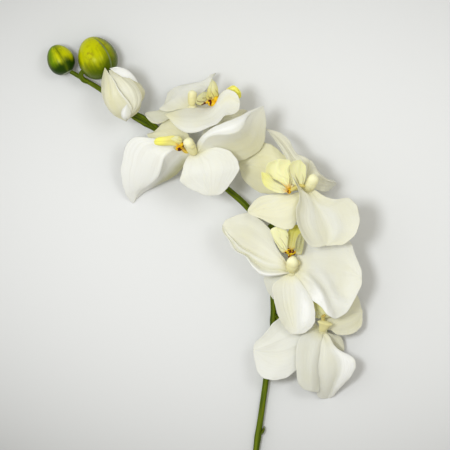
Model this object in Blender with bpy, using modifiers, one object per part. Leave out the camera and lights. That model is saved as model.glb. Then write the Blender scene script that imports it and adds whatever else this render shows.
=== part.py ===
"""A cut spray of white moth orchid, lying on a surface: five open blooms, one opening bud and two green ones.

Run it with blender --background --python part.py, or from the text editor. The tables are in millimetres and the scene
is in metres. +Z is up, the spray lies along Y with its buds at +Y, and the surface that it lies on is Z = 0.
"""

import math
from dataclasses import dataclass

import bmesh
import bpy
from mathutils import Matrix, Vector

MM = 0.001

# Thickness of the petals, and the clearance kept between pieces that meet
BLADE = 0.9
GAP = 0.5

# Edges that turn by more than this many degrees stay sharp
SHARP = 50

# Facets: columns and rows of a tepal and of a lobe of the lip
TEPAL_GRID = (6, 9)
LOBE_GRID = (4, 5)
BRACT_GRID = (2, 3)

# The knob at the back of a bloom on which its tepals sit, the column in front of it, and the lip's callus and claw
HEART_RADIUS = 3.2
COLUMN_RADIUS, CAP_RADIUS = (2.4, 3.3), 3.7
CALLUS = (2.0, 2.0, 2.4)
CLAW_RADIUS = (1.1, 1.4)

# Radius of the main stem at the cut end and at the tip, and of a bloom's stalk at both ends; the last stretch of a
# stalk meets the heart squarely
STEM_RADIUS = (2.5, 1.3)
STALK_RADIUS = (1.9, 1.5)
APPROACH = 4

# Points on the centre line of the main stem, from the cut end to the tip
STEM_ROUTE = (
    (30, -196.5, 2.3), (31.8, -150, 2.5), (35.6, -100, 2.5), (40.5, -64, 2.8), (43.4, -43, 3.5), (48.2, -5, 5),
    (48, 20, 6.5), (45, 45, 7.5), (38.5, 66, 8), (29, 79, 8.5), (15.5, 91, 9), (0, 105, 9.5), (-16, 120, 10),
    (-31.5, 131, 10), (-49, 141, 10), (-60, 150.5, 9.5), (-71.5, 159.3, 10), (-83, 166.4, 11), (-93.3, 172.4, 11.2),
)

# Where its small scales sit, as a share of its points, and on which side of it
BRACTS = ((0.06, -1), (0.135, 1), (0.285, 1), (0.345, -1), (0.455, -1), (0.585, 1), (0.66, 1), (0.75, 1))


@dataclass(frozen=True)
class Blade:
    """A tepal, or a lobe of the lip: a thin blade from its root to the last point of its midrib.

    Left and right are seen from the front with the tip up. A crease of 1 folds it sharply along the midrib, and a puff
    pushes the halves out to the front.
    """

    midrib: tuple
    left: tuple
    right: tuple
    crease: float = 0.0
    puff: tuple = (0, 0)
    wave: float = 0.0
    waves: float = 2.0
    phase: float = 0.0


@dataclass(frozen=True)
class Bloom:
    """One open flower: its heart, its stalk, its five tepals, its column's bend and tip, and its lip."""

    name: str
    heart: tuple
    faces: tuple
    stalk: tuple
    tepals: tuple
    column: tuple
    lip_root: tuple
    lobes: tuple


BLOOMS = (
    Bloom(
        "bloom_1", heart=(83, -8.5, 16), faces=(-0.2, 0.1, 0.97),
        stalk=((48.2, 2, 5.3), (58, -3, 5.5), (72, -8, 5.5)),
        tepals=(
            Blade(midrib=((66, -15, 18), (50, -21, 18), (34.5, -22, 11)),
                  left=((71, -30, 16), (56, -42.5, 15), (38, -40, 10)),
                  right=((70, 1, 15), (53, 1, 14), (38.5, -13, 13)), wave=0.8),
            Blade(midrib=((74, -20, 18), (71.5, -36, 16), (73, -51, 10)),
                  left=((82, -22, 15), (82, -36, 14), (78, -50, 10)),
                  right=((67, -14, 17), (63, -28, 15), (64.5, -45, 11)), puff=(0, 1)),
            Blade(midrib=((86, -24, 21), (90, -40, 18), (86, -57, -0.8)),
                  left=((92, -20.5, 17), (105, -27, 13), (104, -41, 7)),
                  right=((81, -22, 19.5), (77.5, -40, 15), (78.5, -55, 4)), crease=0.3, wave=0.8),
            Blade(midrib=((92, -3, 16), (102, 2, 14), (111, 9, 9)),
                  left=((86, 4, 14), (94, 13, 13), (106, 17, 9)),
                  right=((90, -10, 15), (98.5, -12.3, 12), (110.5, -5, 8))),
            Blade(midrib=((87, -13, 12), (92, -18, 8), (97.5, -23, 4)),
                  left=((89, -11, 12), (95.5, -13, 8), (98, -19, 5)),
                  right=((85, -15, 11), (88, -20, 7), (93, -23, 4))),
        ),
        column=((83.3, -7, 20.8), (86, -3.5, 25.5)),
        lip_root=(83.5, 1.5, 18.5),
        lobes=(
            Blade(midrib=((82, 5, 20), (81, 10, 21), (80, 16, 21)),
                  left=((79, 3, 20), (76.8, 8, 20), (77, 13, 21)),
                  right=((86, 4, 20), (87.5, 8, 21), (84, 14, 21))),
            Blade(midrib=((80.5, 0, 20), (79, -1.5, 20.6), (78, -3, 21)),
                  left=((79.5, -2, 19), (77.8, -4, 19.8), (77.2, -5, 20.5)),
                  right=((80, 1.5, 20.8), (79, 1, 21.4), (78, -0.5, 21.6))),
            Blade(midrib=((87.5, 1, 19.7), (90, 0, 20.3), (91.8, -1.8, 21)),
                  left=((87, 3, 20.5), (90, 2.3, 21), (91.6, 0.5, 21.6)),
                  right=((88, -1, 19.5), (90, -2.5, 19.4), (92, -3.5, 20.2))),
        ),
    ),
    Bloom(
        "bloom_2", heart=(61, 32, 24), faces=(0, 0.3, 0.95),
        stalk=((48, 15, 6.2), (52, 18.5, 8.5), (57.5, 24.5, 13)),
        tepals=(
            Blade(midrib=((48, 41, 29), (31, 49, 29), (12.5, 64, 21)),
                  left=((47, 28.5, 22), (30, 39.5, 19), (16, 54.5, 16)),
                  right=((54, 46.5, 23), (45, 64, 24), (24.5, 73, 23)), crease=0.25, puff=(1.5, 1)),
            Blade(midrib=((76, 37, 27), (93, 36, 26), (110.5, 31, 15)),
                  left=((69, 53, 23), (82, 64, 24), (102, 55, 18)),
                  right=((73, 15.5, 26), (89, -0.5, 25), (106.5, 12, 16)), wave=1.2, phase=90),
            Blade(midrib=((61, 20, 28), (62, 5, 28), (65, -11.2, 22)),
                  left=((73, 18, 25), (78.5, 5, 25), (74, -7.5, 22)),
                  right=((46.8, 23, 24), (49, 6, 23), (56, -8, 21)), puff=(1, 1)),
            Blade(midrib=((53, 27, 19), (49, 22, 16), (48.5, 13, 12)),
                  left=((56, 25, 20), (54, 19, 17), (52, 15, 14)),
                  right=((46, 31, 18), (41.8, 28, 16), (44, 19.5, 13))),
            Blade(midrib=((66, 40, 20), (73, 49, 17), (81, 57, 13)),
                  left=((62, 43, 19), (65, 52, 16), (74, 58, 13)),
                  right=((71, 38, 20), (79, 44, 17), (83, 52, 13))),
        ),
        column=((61.3, 34.5, 28.5), (62, 40.5, 33.5)),
        lip_root=(60, 46.5, 29),
        lobes=(
            Blade(midrib=((61, 52, 29.5), (62.5, 58, 30), (64.5, 65.5, 29)),
                  left=((58, 51, 30), (57.5, 58, 31), (60, 64, 30)),
                  right=((64.5, 50, 30), (67.5, 57, 31), (68, 63, 30))),
            Blade(midrib=((54.5, 50, 32), (53, 57, 35), (52.5, 64.5, 36)),
                  left=((55, 47, 31), (50, 54, 34), (46.5, 62, 36)),
                  right=((58, 50, 31), (59, 56, 34), (58, 63, 36)), puff=(0.5, 0.5)),
            Blade(midrib=((65, 48, 31), (67, 54, 34), (68.5, 61.5, 35)),
                  left=((63.5, 49, 32), (64.5, 55, 35), (67, 60, 36)),
                  right=((67, 44, 31), (69.3, 50, 33), (70, 57, 34))),
        ),
    ),
    Bloom(
        "bloom_3", heart=(71, 89, 38), faces=(0.25, 0.3, 0.9),
        stalk=((41, 59, 7.8), (47, 64.5, 11), (60, 78, 24)),
        tepals=(
            Blade(midrib=((79, 76, 45), (85, 63, 46), (87, 50.5, 41)),
                  left=((90, 83, 42), (107, 81, 40), (105, 57, 38)),
                  right=((61.5, 95.5, 41.5), (63, 74, 41), (70, 53.5, 40)), wave=1.5, waves=1.5, crease=0.2),
            Blade(midrib=((57, 79, 41), (44, 77, 40), (30, 73.5, 35)),
                  left=((65, 67, 40), (55, 62, 40), (40, 69.5, 38)),
                  right=((61, 88, 37), (49, 86.8, 36), (36, 81, 35))),
            Blade(midrib=((56, 98, 32), (41, 104, 27), (24, 107, 19)),
                  left=((57, 88, 33), (42.5, 87.3, 28), (28, 97, 21)),
                  right=((61.5, 108, 32), (51, 119.5, 27), (37, 122.5, 21))),
            Blade(midrib=((66, 103, 36), (57, 118, 33), (43.5, 133, 25)),
                  left=((60, 103, 39), (54.5, 116, 39), (48, 126, 32)),
                  right=((71, 110, 30), (63, 119, 27), (55.5, 128.5, 23))),
            Blade(midrib=((78, 98, 32), (85, 96, 20), (93.5, 94.5, -0.8)),
                  left=((72, 112, 31), (81, 104.5, 22), (88, 98, 9)),
                  right=((78, 90, 31), (84, 87.5, 20), (91, 90, 7))),
        ),
        column=((73.6, 91.5, 42.5), (76, 97, 48)),
        lip_root=(58.5, 91.5, 43),
        lobes=(
            Blade(midrib=((52, 93, 44), (46, 96, 45), (39.5, 99.5, 46)),
                  left=((54, 87.5, 43), (47, 89.5, 44), (41, 94, 46)),
                  right=((54, 98, 45), (48, 101, 46), (42, 103, 47))),
            Blade(midrib=((54, 99, 47), (52, 105, 50), (52, 111, 50)),
                  left=((51, 96, 45), (44, 100, 47), (44, 108, 49)),
                  right=((57.5, 98, 47), (60, 104, 50), (59, 110, 50)), puff=(1.5, 1.5)),
            Blade(midrib=((63.5, 94, 46), (64.5, 102, 51), (67, 110.5, 53)),
                  left=((59, 96, 47), (57.5, 104, 51), (61, 109, 53)),
                  right=((67.5, 90, 45), (69.5, 97, 50), (70.5, 106, 52)), puff=(-1, -1)),
        ),
    ),
    Bloom(
        "bloom_4", heart=(-6, 115, 34), faces=(-0.2, 0.35, 0.9),
        stalk=((8, 98, 9.3), (6, 101, 13), (0, 108, 22)),
        tepals=(
            Blade(midrib=((3, 125.5, 44), (21, 129, 46), (41, 148.5, 37)),
                  left=((-3, 129, 40), (11, 136, 40), (29, 144, 38)),
                  right=((10, 112, 38), (33, 109, 34), (43.5, 131, 35)), crease=0.9, puff=(0, -2)),
            Blade(midrib=((1, 107, 43), (4, 97, 43), (6, 85.5, 36)),
                  left=((11, 118.7, 42), (24.5, 108, 41), (18.5, 93, 37)),
                  right=((-13.5, 109, 39), (-16.3, 96.5, 36), (-5, 89, 35)), wave=0.7),
            Blade(midrib=((-26.5, 114, 34), (-33, 98.5, 29), (-49.5, 79.3, -1)),
                  left=((-15, 106, 26), (-27, 95.5, 18), (-42, 88.5, 8)),
                  right=((-30, 120.5, 30), (-49.5, 125.5, 20), (-57.5, 97, 8)), crease=0.9, puff=(0, 2)),
            Blade(midrib=((-15, 122, 28), (-26, 130, 24), (-40, 128.5, 18)),
                  left=((-19, 119, 27), (-29, 124, 22), (-37, 124.5, 18)),
                  right=((-12, 130, 26), (-24, 140, 23), (-34.5, 130.7, 19))),
            Blade(midrib=((2, 126, 28), (8, 135, 22), (13, 143, 15)),
                  left=((-2, 125, 27), (1, 135, 22), (8, 142, 16)),
                  right=((7, 124, 27), (15, 132, 21), (17, 140, 15))),
        ),
        column=((-7.8, 116.8, 39.2), (-11, 123.8, 43.5)),
        lip_root=(-16.5, 119.8, 39),
        lobes=(
            Blade(midrib=((-23, 122.5, 40), (-29, 123.5, 40.5), (-34.8, 123.8, 40.5)),
                  left=((-21, 119.8, 39.5), (-28, 120.5, 40), (-33.5, 121.3, 40)),
                  right=((-19, 125.5, 41), (-27, 126.5, 41.5), (-33, 125.5, 41))),
            Blade(midrib=((-16.5, 123, 42), (-19, 124.7, 44), (-23, 125.7, 45)),
                  left=((-18.5, 122, 43), (-22, 123.7, 45), (-24.5, 125, 46)),
                  right=((-15, 124.5, 41), (-17, 126.7, 43), (-20.5, 127, 44))),
            Blade(midrib=((-17.5, 117.5, 41), (-19.5, 116.5, 43), (-23, 117, 45)),
                  left=((-15.5, 116.5, 41), (-18, 115, 43), (-21, 115.5, 45)),
                  right=((-20, 118.5, 41), (-22, 118, 43), (-24, 118, 45))),
        ),
    ),
    Bloom(
        "bloom_5", heart=(-8, 146.5, 30), faces=(0, 0.88, 0.47),
        stalk=((-18, 121.5, 10), (-14, 128, 13), (-10, 137, 19)),
        tepals=(
            Blade(midrib=((-7, 146.5, 42), (-4, 141, 53), (-8, 128, 50)),
                  left=((7, 149, 36), (22.5, 159, 42), (22, 142.5, 50)),
                  right=((-18, 146.3, 36), (-28.5, 142.5, 43), (-18, 132, 50)), puff=(1, 1), wave=1),
            Blade(midrib=((-11, 154, 22), (-12, 160, 12), (-8, 165.5, 4)),
                  left=((-24, 148, 21), (-30, 151, 13), (-21, 162, 6)),
                  right=((-3, 152, 22), (2, 159, 13), (7, 169.5, 8)), wave=1),
            Blade(midrib=((-20, 145, 27), (-33, 142, 24), (-46.5, 143, 20)),
                  left=((-22, 140, 29), (-33, 135.3, 27), (-42.5, 140, 22)),
                  right=((-20, 150, 23), (-32, 148, 20), (-42, 145.5, 19))),
            Blade(midrib=((4, 142, 27), (17, 139.5, 24), (30.5, 145, 20)),
                  left=((6, 147, 24), (18, 143.5, 21), (26, 146, 19)),
                  right=((2, 137, 28), (14, 134.5, 26), (24, 139.5, 22))),
            Blade(midrib=((-2, 149, 19), (4, 152, 10), (10, 153, 4)),
                  left=((-2, 153, 20), (4, 158, 11), (9, 157, 5)),
                  right=((0, 145, 20), (8, 147, 11), (13, 150, 5))),
        ),
        column=((-8, 151, 32.5), (-8, 156.5, 35)),
        lip_root=(4, 151.5, 32.5),
        lobes=(
            Blade(midrib=((11, 154.5, 32), (19, 158.5, 32), (26.5, 155.5, 32)),
                  left=((9, 157, 32), (15.5, 162, 32), (22.3, 162.5, 32)),
                  right=((11.5, 151.5, 32), (19, 153.5, 32), (25, 153.5, 32))),
            Blade(midrib=((4.5, 155, 35), (5, 161, 36), (4.5, 167.5, 35)),
                  left=((2, 153, 36), (1, 158, 37), (3, 164, 36)),
                  right=((8, 153, 35), (10, 158.5, 35), (8, 164.5, 35))),
            Blade(midrib=((3.5, 155, 29), (4, 160, 27), (4, 165, 25)),
                  left=((1.5, 153, 29), (1, 158, 27), (2.5, 163, 25)),
                  right=((7, 153, 29), (8.5, 158, 27), (7, 163, 25))),
        ),
    ),
)

# The opening bud: a core, and the sepals that wrap round it from its foot
WHITE_BUD_FOOT = (-54.5, 137.8, 24)
WHITE_BUD_CORE = ((-57.5, 156, 25), (-14, 33, 1), (9.5, 7.5, 15))
WHITE_BUD_STALK = ((-30, 130, 10.2), (-38, 137.5, 12.5), (-47, 142.5, 15.5), (-50, 143, 17))
WHITE_BUD_SEPALS = (
    Blade(midrib=((-62, 146, 34), (-68, 160, 34), (-69.3, 175.5, 26.5)),
          left=((-65.5, 143.5, 27), (-71.5, 156, 26), (-71.5, 167, 25)),
          right=((-56, 147, 37), (-58, 158, 37.5), (-64, 168, 33))),
    Blade(midrib=((-50.5, 147, 36), (-53, 161, 36.5), (-67.5, 174, 27)),
          left=((-56, 145, 38), (-59.5, 157, 38.5), (-65.5, 168, 34)),
          right=((-46.5, 144, 31), (-47, 158, 31), (-56, 169.5, 29))),
    Blade(midrib=((-44.5, 147, 27), (-41.5, 158, 26), (-57, 174, 25)),
          left=((-48.5, 146, 32), (-46.5, 157, 33), (-54, 168, 30)),
          right=((-46, 147, 19), (-44, 157, 18), (-53, 171, 20))),
    Blade(midrib=((-50, 150, 24), (-50, 167, 26), (-61, 175.3, 24)),
          left=((-57, 150, 30), (-58, 165, 31), (-66, 172.5, 27)),
          right=((-47, 150, 18), (-46, 164, 20), (-55, 174.5, 21))),
    Blade(midrib=((-57, 147, 15), (-60, 160, 14), (-66, 172, 24)),
          left=((-49, 146, 18), (-48, 158, 16), (-55, 170, 20)),
          right=((-65, 146, 22), (-70, 158, 20), (-69.5, 166, 23))),
)

# The closed buds: foot, tip, and half of their width and height
LARGE_BUD = ((-70.3, 167.5, 13.4), (-79.8, 197, 13.4), (13.8, 13.8))
SMALL_BUD = ((-97, 170.8, 11), (-104.3, 191.7, 11), (9.3, 8.8))
LARGE_BUD_STALK = ((-82, 165.8, 11), (-85.3, 166.8, 11.5), (-87.2, 169.4, 12), (-86.1, 172.1, 12.6))


def curve_point(points, share):
    """The point at a share of the way along a smooth curve through evenly counted points."""
    last = len(points) - 1
    first = min(int(share * last), last - 1)
    t = share * last - first
    a, b = points[first], points[first + 1]
    before = points[first - 1] if first else 2 * a - b
    after = points[first + 2] if first + 2 <= last else 2 * b - a
    slope_a, slope_b = (b - before) / 2, (after - a) / 2
    return (
        a * (1 + 2 * t) * (1 - t) ** 2 + b * t**2 * (3 - 2 * t)
        + slope_a * t * (1 - t) ** 2 - slope_b * t**2 * (1 - t)
    )


def blade_point(blade, root, across, along):
    """The point of a blade's middle surface at a share across (-1 to 1) and along (0 to 1)."""
    midrib = [root, *map(Vector, blade.midrib)]
    left, right = ([root, *map(Vector, margin), midrib[-1]] for margin in (blade.left, blade.right))
    near = min(max(along, 0.04), 0.96)
    forward = curve_point(midrib, near + 0.02) - curve_point(midrib, near - 0.02)
    front = (curve_point(right, near) - curve_point(left, near)).cross(forward).normalized()
    middle = curve_point(midrib, along)
    half = (curve_point(right, along) - curve_point(left, along)) / 2
    on_right = across >= 0
    reach = curve_point(right if on_right else left, along) - middle
    start = (half if on_right else -half).lerp(reach, blade.crease)
    t = abs(across)
    swell = math.sin(math.pi * along)
    lift = blade.puff[on_right] * 4 * t * (1 - t) * swell
    lift += blade.wave * t**2 * swell * math.sin(2 * math.pi * blade.waves * along + across + math.radians(blade.phase))
    return middle + start * t + (reach - start) * t**2 + front * lift


def named_mesh(name, bm):
    """A new object that takes over a bmesh."""
    bmesh.ops.recalc_face_normals(bm, faces=bm.faces)
    mesh = bpy.data.meshes.new(name)
    bm.to_mesh(mesh)
    bm.free()
    obj = bpy.data.objects.new(name, mesh)
    bpy.context.scene.collection.objects.link(obj)
    return obj


def baked(obj):
    """The object with its modifiers applied."""
    graph = bpy.context.evaluated_depsgraph_get()
    mesh = bpy.data.meshes.new_from_object(obj.evaluated_get(graph))
    obj.modifiers.clear()
    obj.data = mesh
    return obj


def blade_solid(name, blade, root, grid):
    """A blade as a thin closed solid: a grid bent to shape, split into triangles and given its thickness."""
    bm = bmesh.new()
    bmesh.ops.create_grid(bm, x_segments=grid[0], y_segments=grid[1], size=1)
    for vertex in bm.verts:
        vertex.co = blade_point(blade, Vector(root), vertex.co.x, (vertex.co.y + 1) / 2) * MM
    bmesh.ops.remove_doubles(bm, verts=bm.verts, dist=0.05 * MM)
    bmesh.ops.triangulate(bm, faces=bm.faces)
    obj = named_mesh(name, bm)
    solidify = obj.modifiers.new("thickness", "SOLIDIFY")
    solidify.thickness = BLADE * MM
    solidify.offset = 0
    return baked(obj)


def ball(name, centre, axis, radii, segments=10, rings=7, groove=0.0):
    """A ball or egg whose third radius lies along an axis; a groove presses three seams into it, foot to tip."""
    bm = bmesh.new()
    bmesh.ops.create_uvsphere(bm, u_segments=segments, v_segments=rings, radius=1)
    for vertex in bm.verts:
        x, y, z = vertex.co
        slim = 1 - 0.12 * z - groove * max(0, math.cos(3 * math.atan2(y, x))) ** 2
        vertex.co = (x * slim * radii[0], y * slim * radii[1], z * radii[2])
    turn = Vector(axis).to_track_quat("Z", "Y").to_matrix().to_4x4()
    place = Matrix.Scale(MM, 4) @ Matrix.Translation(centre) @ turn
    bmesh.ops.transform(bm, matrix=place, verts=bm.verts)
    return named_mesh(name, bm)


def stalk_solid(name, route, radius, steps):
    """A round stalk along a smooth curve, which narrows evenly from its first point to its last."""
    points = [Vector(point) for point in route]
    curve = bpy.data.curves.new(name, "CURVE")
    curve.dimensions = "3D"
    curve.bevel_depth = MM
    curve.bevel_resolution = 2
    curve.use_fill_caps = True
    spline = curve.splines.new("POLY")
    spline.points.add(steps - 1)
    for index, point in enumerate(spline.points):
        share = index / (steps - 1)
        point.co = (*(curve_point(points, share) * MM), 1)
        point.radius = radius[0] + (radius[1] - radius[0]) * share
    guide = bpy.data.objects.new(name, curve)
    bpy.context.scene.collection.objects.link(guide)
    graph = bpy.context.evaluated_depsgraph_get()
    bm = bmesh.new()
    bm.from_mesh(guide.evaluated_get(graph).to_mesh())
    bpy.data.objects.remove(guide)
    bmesh.ops.remove_doubles(bm, verts=bm.verts, dist=0.02 * MM)
    return named_mesh(name, bm)


def level_below(obj):
    """Cuts an object flat where it would sink into the surface."""
    bm = bmesh.new()
    bm.from_mesh(obj.data)
    geometry = [*bm.verts, *bm.edges, *bm.faces]
    bmesh.ops.bisect_plane(bm, geom=geometry, dist=1e-7, plane_co=(0, 0, 0), plane_no=(0, 0, 1), clear_inner=True)
    bmesh.ops.holes_fill(bm, edges=[edge for edge in bm.edges if edge.is_boundary])
    bmesh.ops.recalc_face_normals(bm, faces=bm.faces)
    bm.to_mesh(obj.data)
    bm.free()


def fused(name, pieces, material, solver="EXACT"):
    """One solid from several that cross, under one name, flat where it rests on the surface."""
    first, *rest = pieces
    first.name = name
    first.data.materials.clear()
    first.data.materials.append(material)
    if rest:
        others = bpy.data.collections.new(name + " pieces")
        bpy.context.scene.collection.children.link(others)
        for piece in rest:
            bpy.context.scene.collection.objects.unlink(piece)
            others.objects.link(piece)
        union = first.modifiers.new("join", "BOOLEAN")
        union.operation = "UNION"
        union.operand_type = "COLLECTION"
        union.collection = others
        union.solver = solver
        baked(first)
        for piece in rest:
            bpy.data.objects.remove(piece)
        bpy.data.collections.remove(others)
    level_below(first)
    return first


def finish(name, colour, roughness):
    """A material in one colour."""
    material = bpy.data.materials.new(name)
    material.use_nodes = True
    shader = material.node_tree.nodes["Principled BSDF"]
    shader.inputs["Base Color"].default_value = (*colour, 1)
    shader.inputs["Roughness"].default_value = roughness
    shader.inputs["Metallic"].default_value = 0
    return material


def make_tepals(bloom, material):
    """The five tepals of a bloom, joined at its heart."""
    pieces = [ball("heart", bloom.heart, bloom.faces, (HEART_RADIUS,) * 3)]
    pieces += [blade_solid("tepal", tepal, bloom.heart, TEPAL_GRID) for tepal in bloom.tepals]
    return fused(bloom.name + "_tepals", pieces, material, "MANIFOLD")


def column_route(bloom):
    """The centre line of a column, from its seat on the heart through its bend to its tip."""
    heart = Vector(bloom.heart)
    bend, tip = map(Vector, bloom.column)
    return heart + (bend - heart).normalized() * (HEART_RADIUS + GAP), bend, tip


def claw_route(bloom):
    """The centre line of the lip's claw, from the side of the column at its bend to the callus."""
    seat, bend, tip = column_route(bloom)
    root = Vector(bloom.lip_root)
    out = (root - bend - (root - bend).project(tip - seat)).normalized()
    end = bend + out * (sum(COLUMN_RADIUS) / 2 + GAP)
    return end, end + out * (root - end).length * 0.3, root


def make_column(bloom, material):
    """The column in the middle of a bloom: a short rod with a rounded cap."""
    route = column_route(bloom)
    rod = stalk_solid("rod", route, COLUMN_RADIUS, 5)
    cap = ball("cap", route[2], route[2] - route[1], (CAP_RADIUS,) * 3)
    return fused(bloom.name + "_column", [rod, cap], material)


def make_lip(bloom, material):
    """The lip: a middle lobe and two side lobes, the callus where they meet, and the claw that carries them."""
    pieces = [ball("callus", bloom.lip_root, bloom.faces, CALLUS, 8, 6)]
    pieces.append(stalk_solid("claw", claw_route(bloom), CLAW_RADIUS, 5))
    pieces += [blade_solid("lobe", lobe, bloom.lip_root, LOBE_GRID) for lobe in bloom.lobes]
    return fused(bloom.name + "_lip", pieces, material)


def make_white_bud(material):
    """The bud that is about to open: sepals wrapped round a core."""
    centre, axis, radii = WHITE_BUD_CORE
    pieces = [ball("core", centre, axis, radii)]
    pieces += [blade_solid("sepal", sepal, WHITE_BUD_FOOT, TEPAL_GRID) for sepal in WHITE_BUD_SEPALS]
    return fused("bud_white", pieces, material, "MANIFOLD")


def make_green_bud(name, foot, tip, half, material):
    """A closed green bud with three shallow seams."""
    foot, tip = Vector(foot), Vector(tip)
    axis = tip - foot
    return fused(name, [ball(name, (foot + tip) / 2, axis, (*half, axis.length / 2), 15, 9, 0.05)], material)


def bract(share, side):
    """A small scale on the main stem, which leans out to one side of it at a share of its length."""
    points = [Vector(point) for point in STEM_ROUTE]
    spot = curve_point(points, share)
    ahead = (curve_point(points, share + 0.01) - spot).normalized()
    out = (ahead.cross(Vector((0, 0, 1))) * side).normalized()
    across = ahead.cross(out)

    def place(forward, outward, sideways):
        return tuple(spot + ahead * forward + out * outward + across * sideways)

    scale = Blade(
        midrib=(place(2, 2.6, 0), place(5, 3.6, 0), place(8, 3.4, 0)),
        left=(place(1, 1, -2.6), place(3.5, 2.2, -3), place(6, 3, -1.6)),
        right=(place(1, 1, 2.6), place(3.5, 2.2, 3), place(6, 3, 1.6)),
    )
    return blade_solid("bract", scale, spot, BRACT_GRID)


def make_stem(material):
    """The main stem with its bracts and the stalk of each bloom and bud."""
    pieces = [stalk_solid("stem", STEM_ROUTE, STEM_RADIUS, 48)]
    pieces += [bract(share, side) for share, side in BRACTS]
    for bloom in BLOOMS:
        back = Vector(bloom.faces).normalized()
        end = Vector(bloom.heart) - back * (HEART_RADIUS + GAP)
        pieces.append(stalk_solid("stalk", (*bloom.stalk, end - back * APPROACH, end), STALK_RADIUS, 11))
    for route in (WHITE_BUD_STALK, LARGE_BUD_STALK):
        pieces.append(stalk_solid("stalk", route, STALK_RADIUS, 7))
    return fused("stem", pieces, material, "MANIFOLD")


def main():
    """Builds every piece of the spray."""
    for obj in list(bpy.data.objects):
        bpy.data.objects.remove(obj)
    white = finish("white petal", (0.86, 0.86, 0.82), 0.5)
    yellow = finish("yellow lip", (0.85, 0.75, 0.25), 0.45)
    cream = finish("cream column", (0.86, 0.82, 0.55), 0.4)
    green = finish("green stem", (0.15, 0.27, 0.02), 0.45)
    lime = finish("green bud", (0.4, 0.48, 0.02), 0.35)
    make_stem(green)
    for bloom in BLOOMS:
        make_tepals(bloom, white)
        make_column(bloom, cream)
        make_lip(bloom, yellow)
    make_white_bud(white)
    make_green_bud("bud_green_large", *LARGE_BUD, lime)
    make_green_bud("bud_green_small", *SMALL_BUD, lime)
    spray = bpy.data.collections.new("moth_orchid_stem")
    bpy.context.scene.collection.children.link(spray)
    for obj in list(bpy.context.scene.collection.objects):
        spray.objects.link(obj)
        bpy.context.scene.collection.objects.unlink(obj)
        obj.data.shade_smooth()
        obj.data.set_sharp_from_angle(angle=math.radians(SHARP))


main()
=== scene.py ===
"""Dresses the moth orchid spray: petals, lips, columns, buds and stem, on a pale floor, seen from above.

The tables are in millimetres, in the frame's own axes. +Z is up. The spray lies along Y, its buds at +Y.
"""

import logging
import math
from dataclasses import dataclass
from enum import Enum
from typing import Any

import bmesh
import bpy
import numpy as np
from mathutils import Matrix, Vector


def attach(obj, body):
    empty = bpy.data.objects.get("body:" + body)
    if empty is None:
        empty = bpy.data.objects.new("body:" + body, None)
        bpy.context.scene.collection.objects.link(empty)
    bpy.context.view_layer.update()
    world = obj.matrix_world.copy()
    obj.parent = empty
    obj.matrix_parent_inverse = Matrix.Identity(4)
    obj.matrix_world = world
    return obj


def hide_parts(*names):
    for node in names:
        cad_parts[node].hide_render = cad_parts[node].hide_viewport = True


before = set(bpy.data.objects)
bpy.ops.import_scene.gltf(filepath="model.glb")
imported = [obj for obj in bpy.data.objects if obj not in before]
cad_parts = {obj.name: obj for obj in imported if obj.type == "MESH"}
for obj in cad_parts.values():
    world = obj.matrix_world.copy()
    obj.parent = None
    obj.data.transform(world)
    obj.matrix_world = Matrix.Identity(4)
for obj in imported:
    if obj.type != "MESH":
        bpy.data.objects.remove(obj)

Point = tuple[float, float, float]

log = logging.getLogger("orchid")

MM = 0.001
BODY = "root"
# Points closer than this are merged, in millimetres
MERGE = 0.004
# The height at which a mesh that dips below the surface is cut, in metres
FLOOR_GAP = 2e-5
# The greatest thickness of a tepal and of the lip's lobes, in millimetres
TEPAL_THICK = 0.62
MIDDLE_LOBE_THICK = 0.95
SIDE_LOBE_THICK = 0.8
# How many faces go along and round each skin
COLUMN_ROWS, COLUMN_AROUND = 72, 48
CLAW_ROWS, CLAW_AROUND = 24, 24
STEM_ROWS, STEM_AROUND = 420, 32
STALK_ROWS, STALK_AROUND = 72, 24
KNOB_AROUND = 24


class Socket:
    """An output of a shader node, which adds Math nodes as it is worked with."""

    def __init__(self, tree: bpy.types.NodeTree, link: bpy.types.NodeSocket) -> None:
        """Wraps a socket."""
        self.tree = tree
        self.link = link

    def math(self, operation: str, *values: "Socket | float", clamp: bool = False) -> "Socket":
        """Adds a Math node.

        Args:
            operation: The node's operation.
            values: Its inputs in order, sockets or numbers.
            clamp: Whether the result is kept from 0 to 1.

        Returns:
            The node's output.
        """
        node = self.tree.nodes.new("ShaderNodeMath")
        node.operation = operation
        node.use_clamp = clamp
        for place, value in zip(node.inputs, values):
            if isinstance(value, Socket):
                self.tree.links.new(value.link, place)
            else:
                place.default_value = value
        return Socket(self.tree, node.outputs[0])

    def __add__(self, other: "Socket | float") -> "Socket":
        """The sum."""
        return self.math("ADD", self, other)

    def __sub__(self, other: "Socket | float") -> "Socket":
        """The difference."""
        return self.math("SUBTRACT", self, other)

    def __rsub__(self, other: float) -> "Socket":
        """A number less this socket."""
        return self.math("SUBTRACT", other, self)

    def __mul__(self, other: "Socket | float") -> "Socket":
        """The product."""
        return self.math("MULTIPLY", self, other)

    def __truediv__(self, other: "Socket | float") -> "Socket":
        """The quotient."""
        return self.math("DIVIDE", self, other)

    def __pow__(self, other: float) -> "Socket":
        """The power."""
        return self.math("POWER", self, other)

    __radd__ = __add__
    __rmul__ = __mul__

    def wave(self) -> "Socket":
        """The sine."""
        return self.math("SINE", self)

    def least(self, other: "Socket | float") -> "Socket":
        """The smaller of two values."""
        return self.math("MINIMUM", self, other)

    def most(self, other: "Socket | float") -> "Socket":
        """The larger of two values."""
        return self.math("MAXIMUM", self, other)

    def step(self, start: float, end: float) -> "Socket":
        """A smooth step."""
        share = self.math("MULTIPLY_ADD", self, 1 / (end - start), -start / (end - start), clamp=True)
        return share * share * (3 - share * 2)


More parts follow.
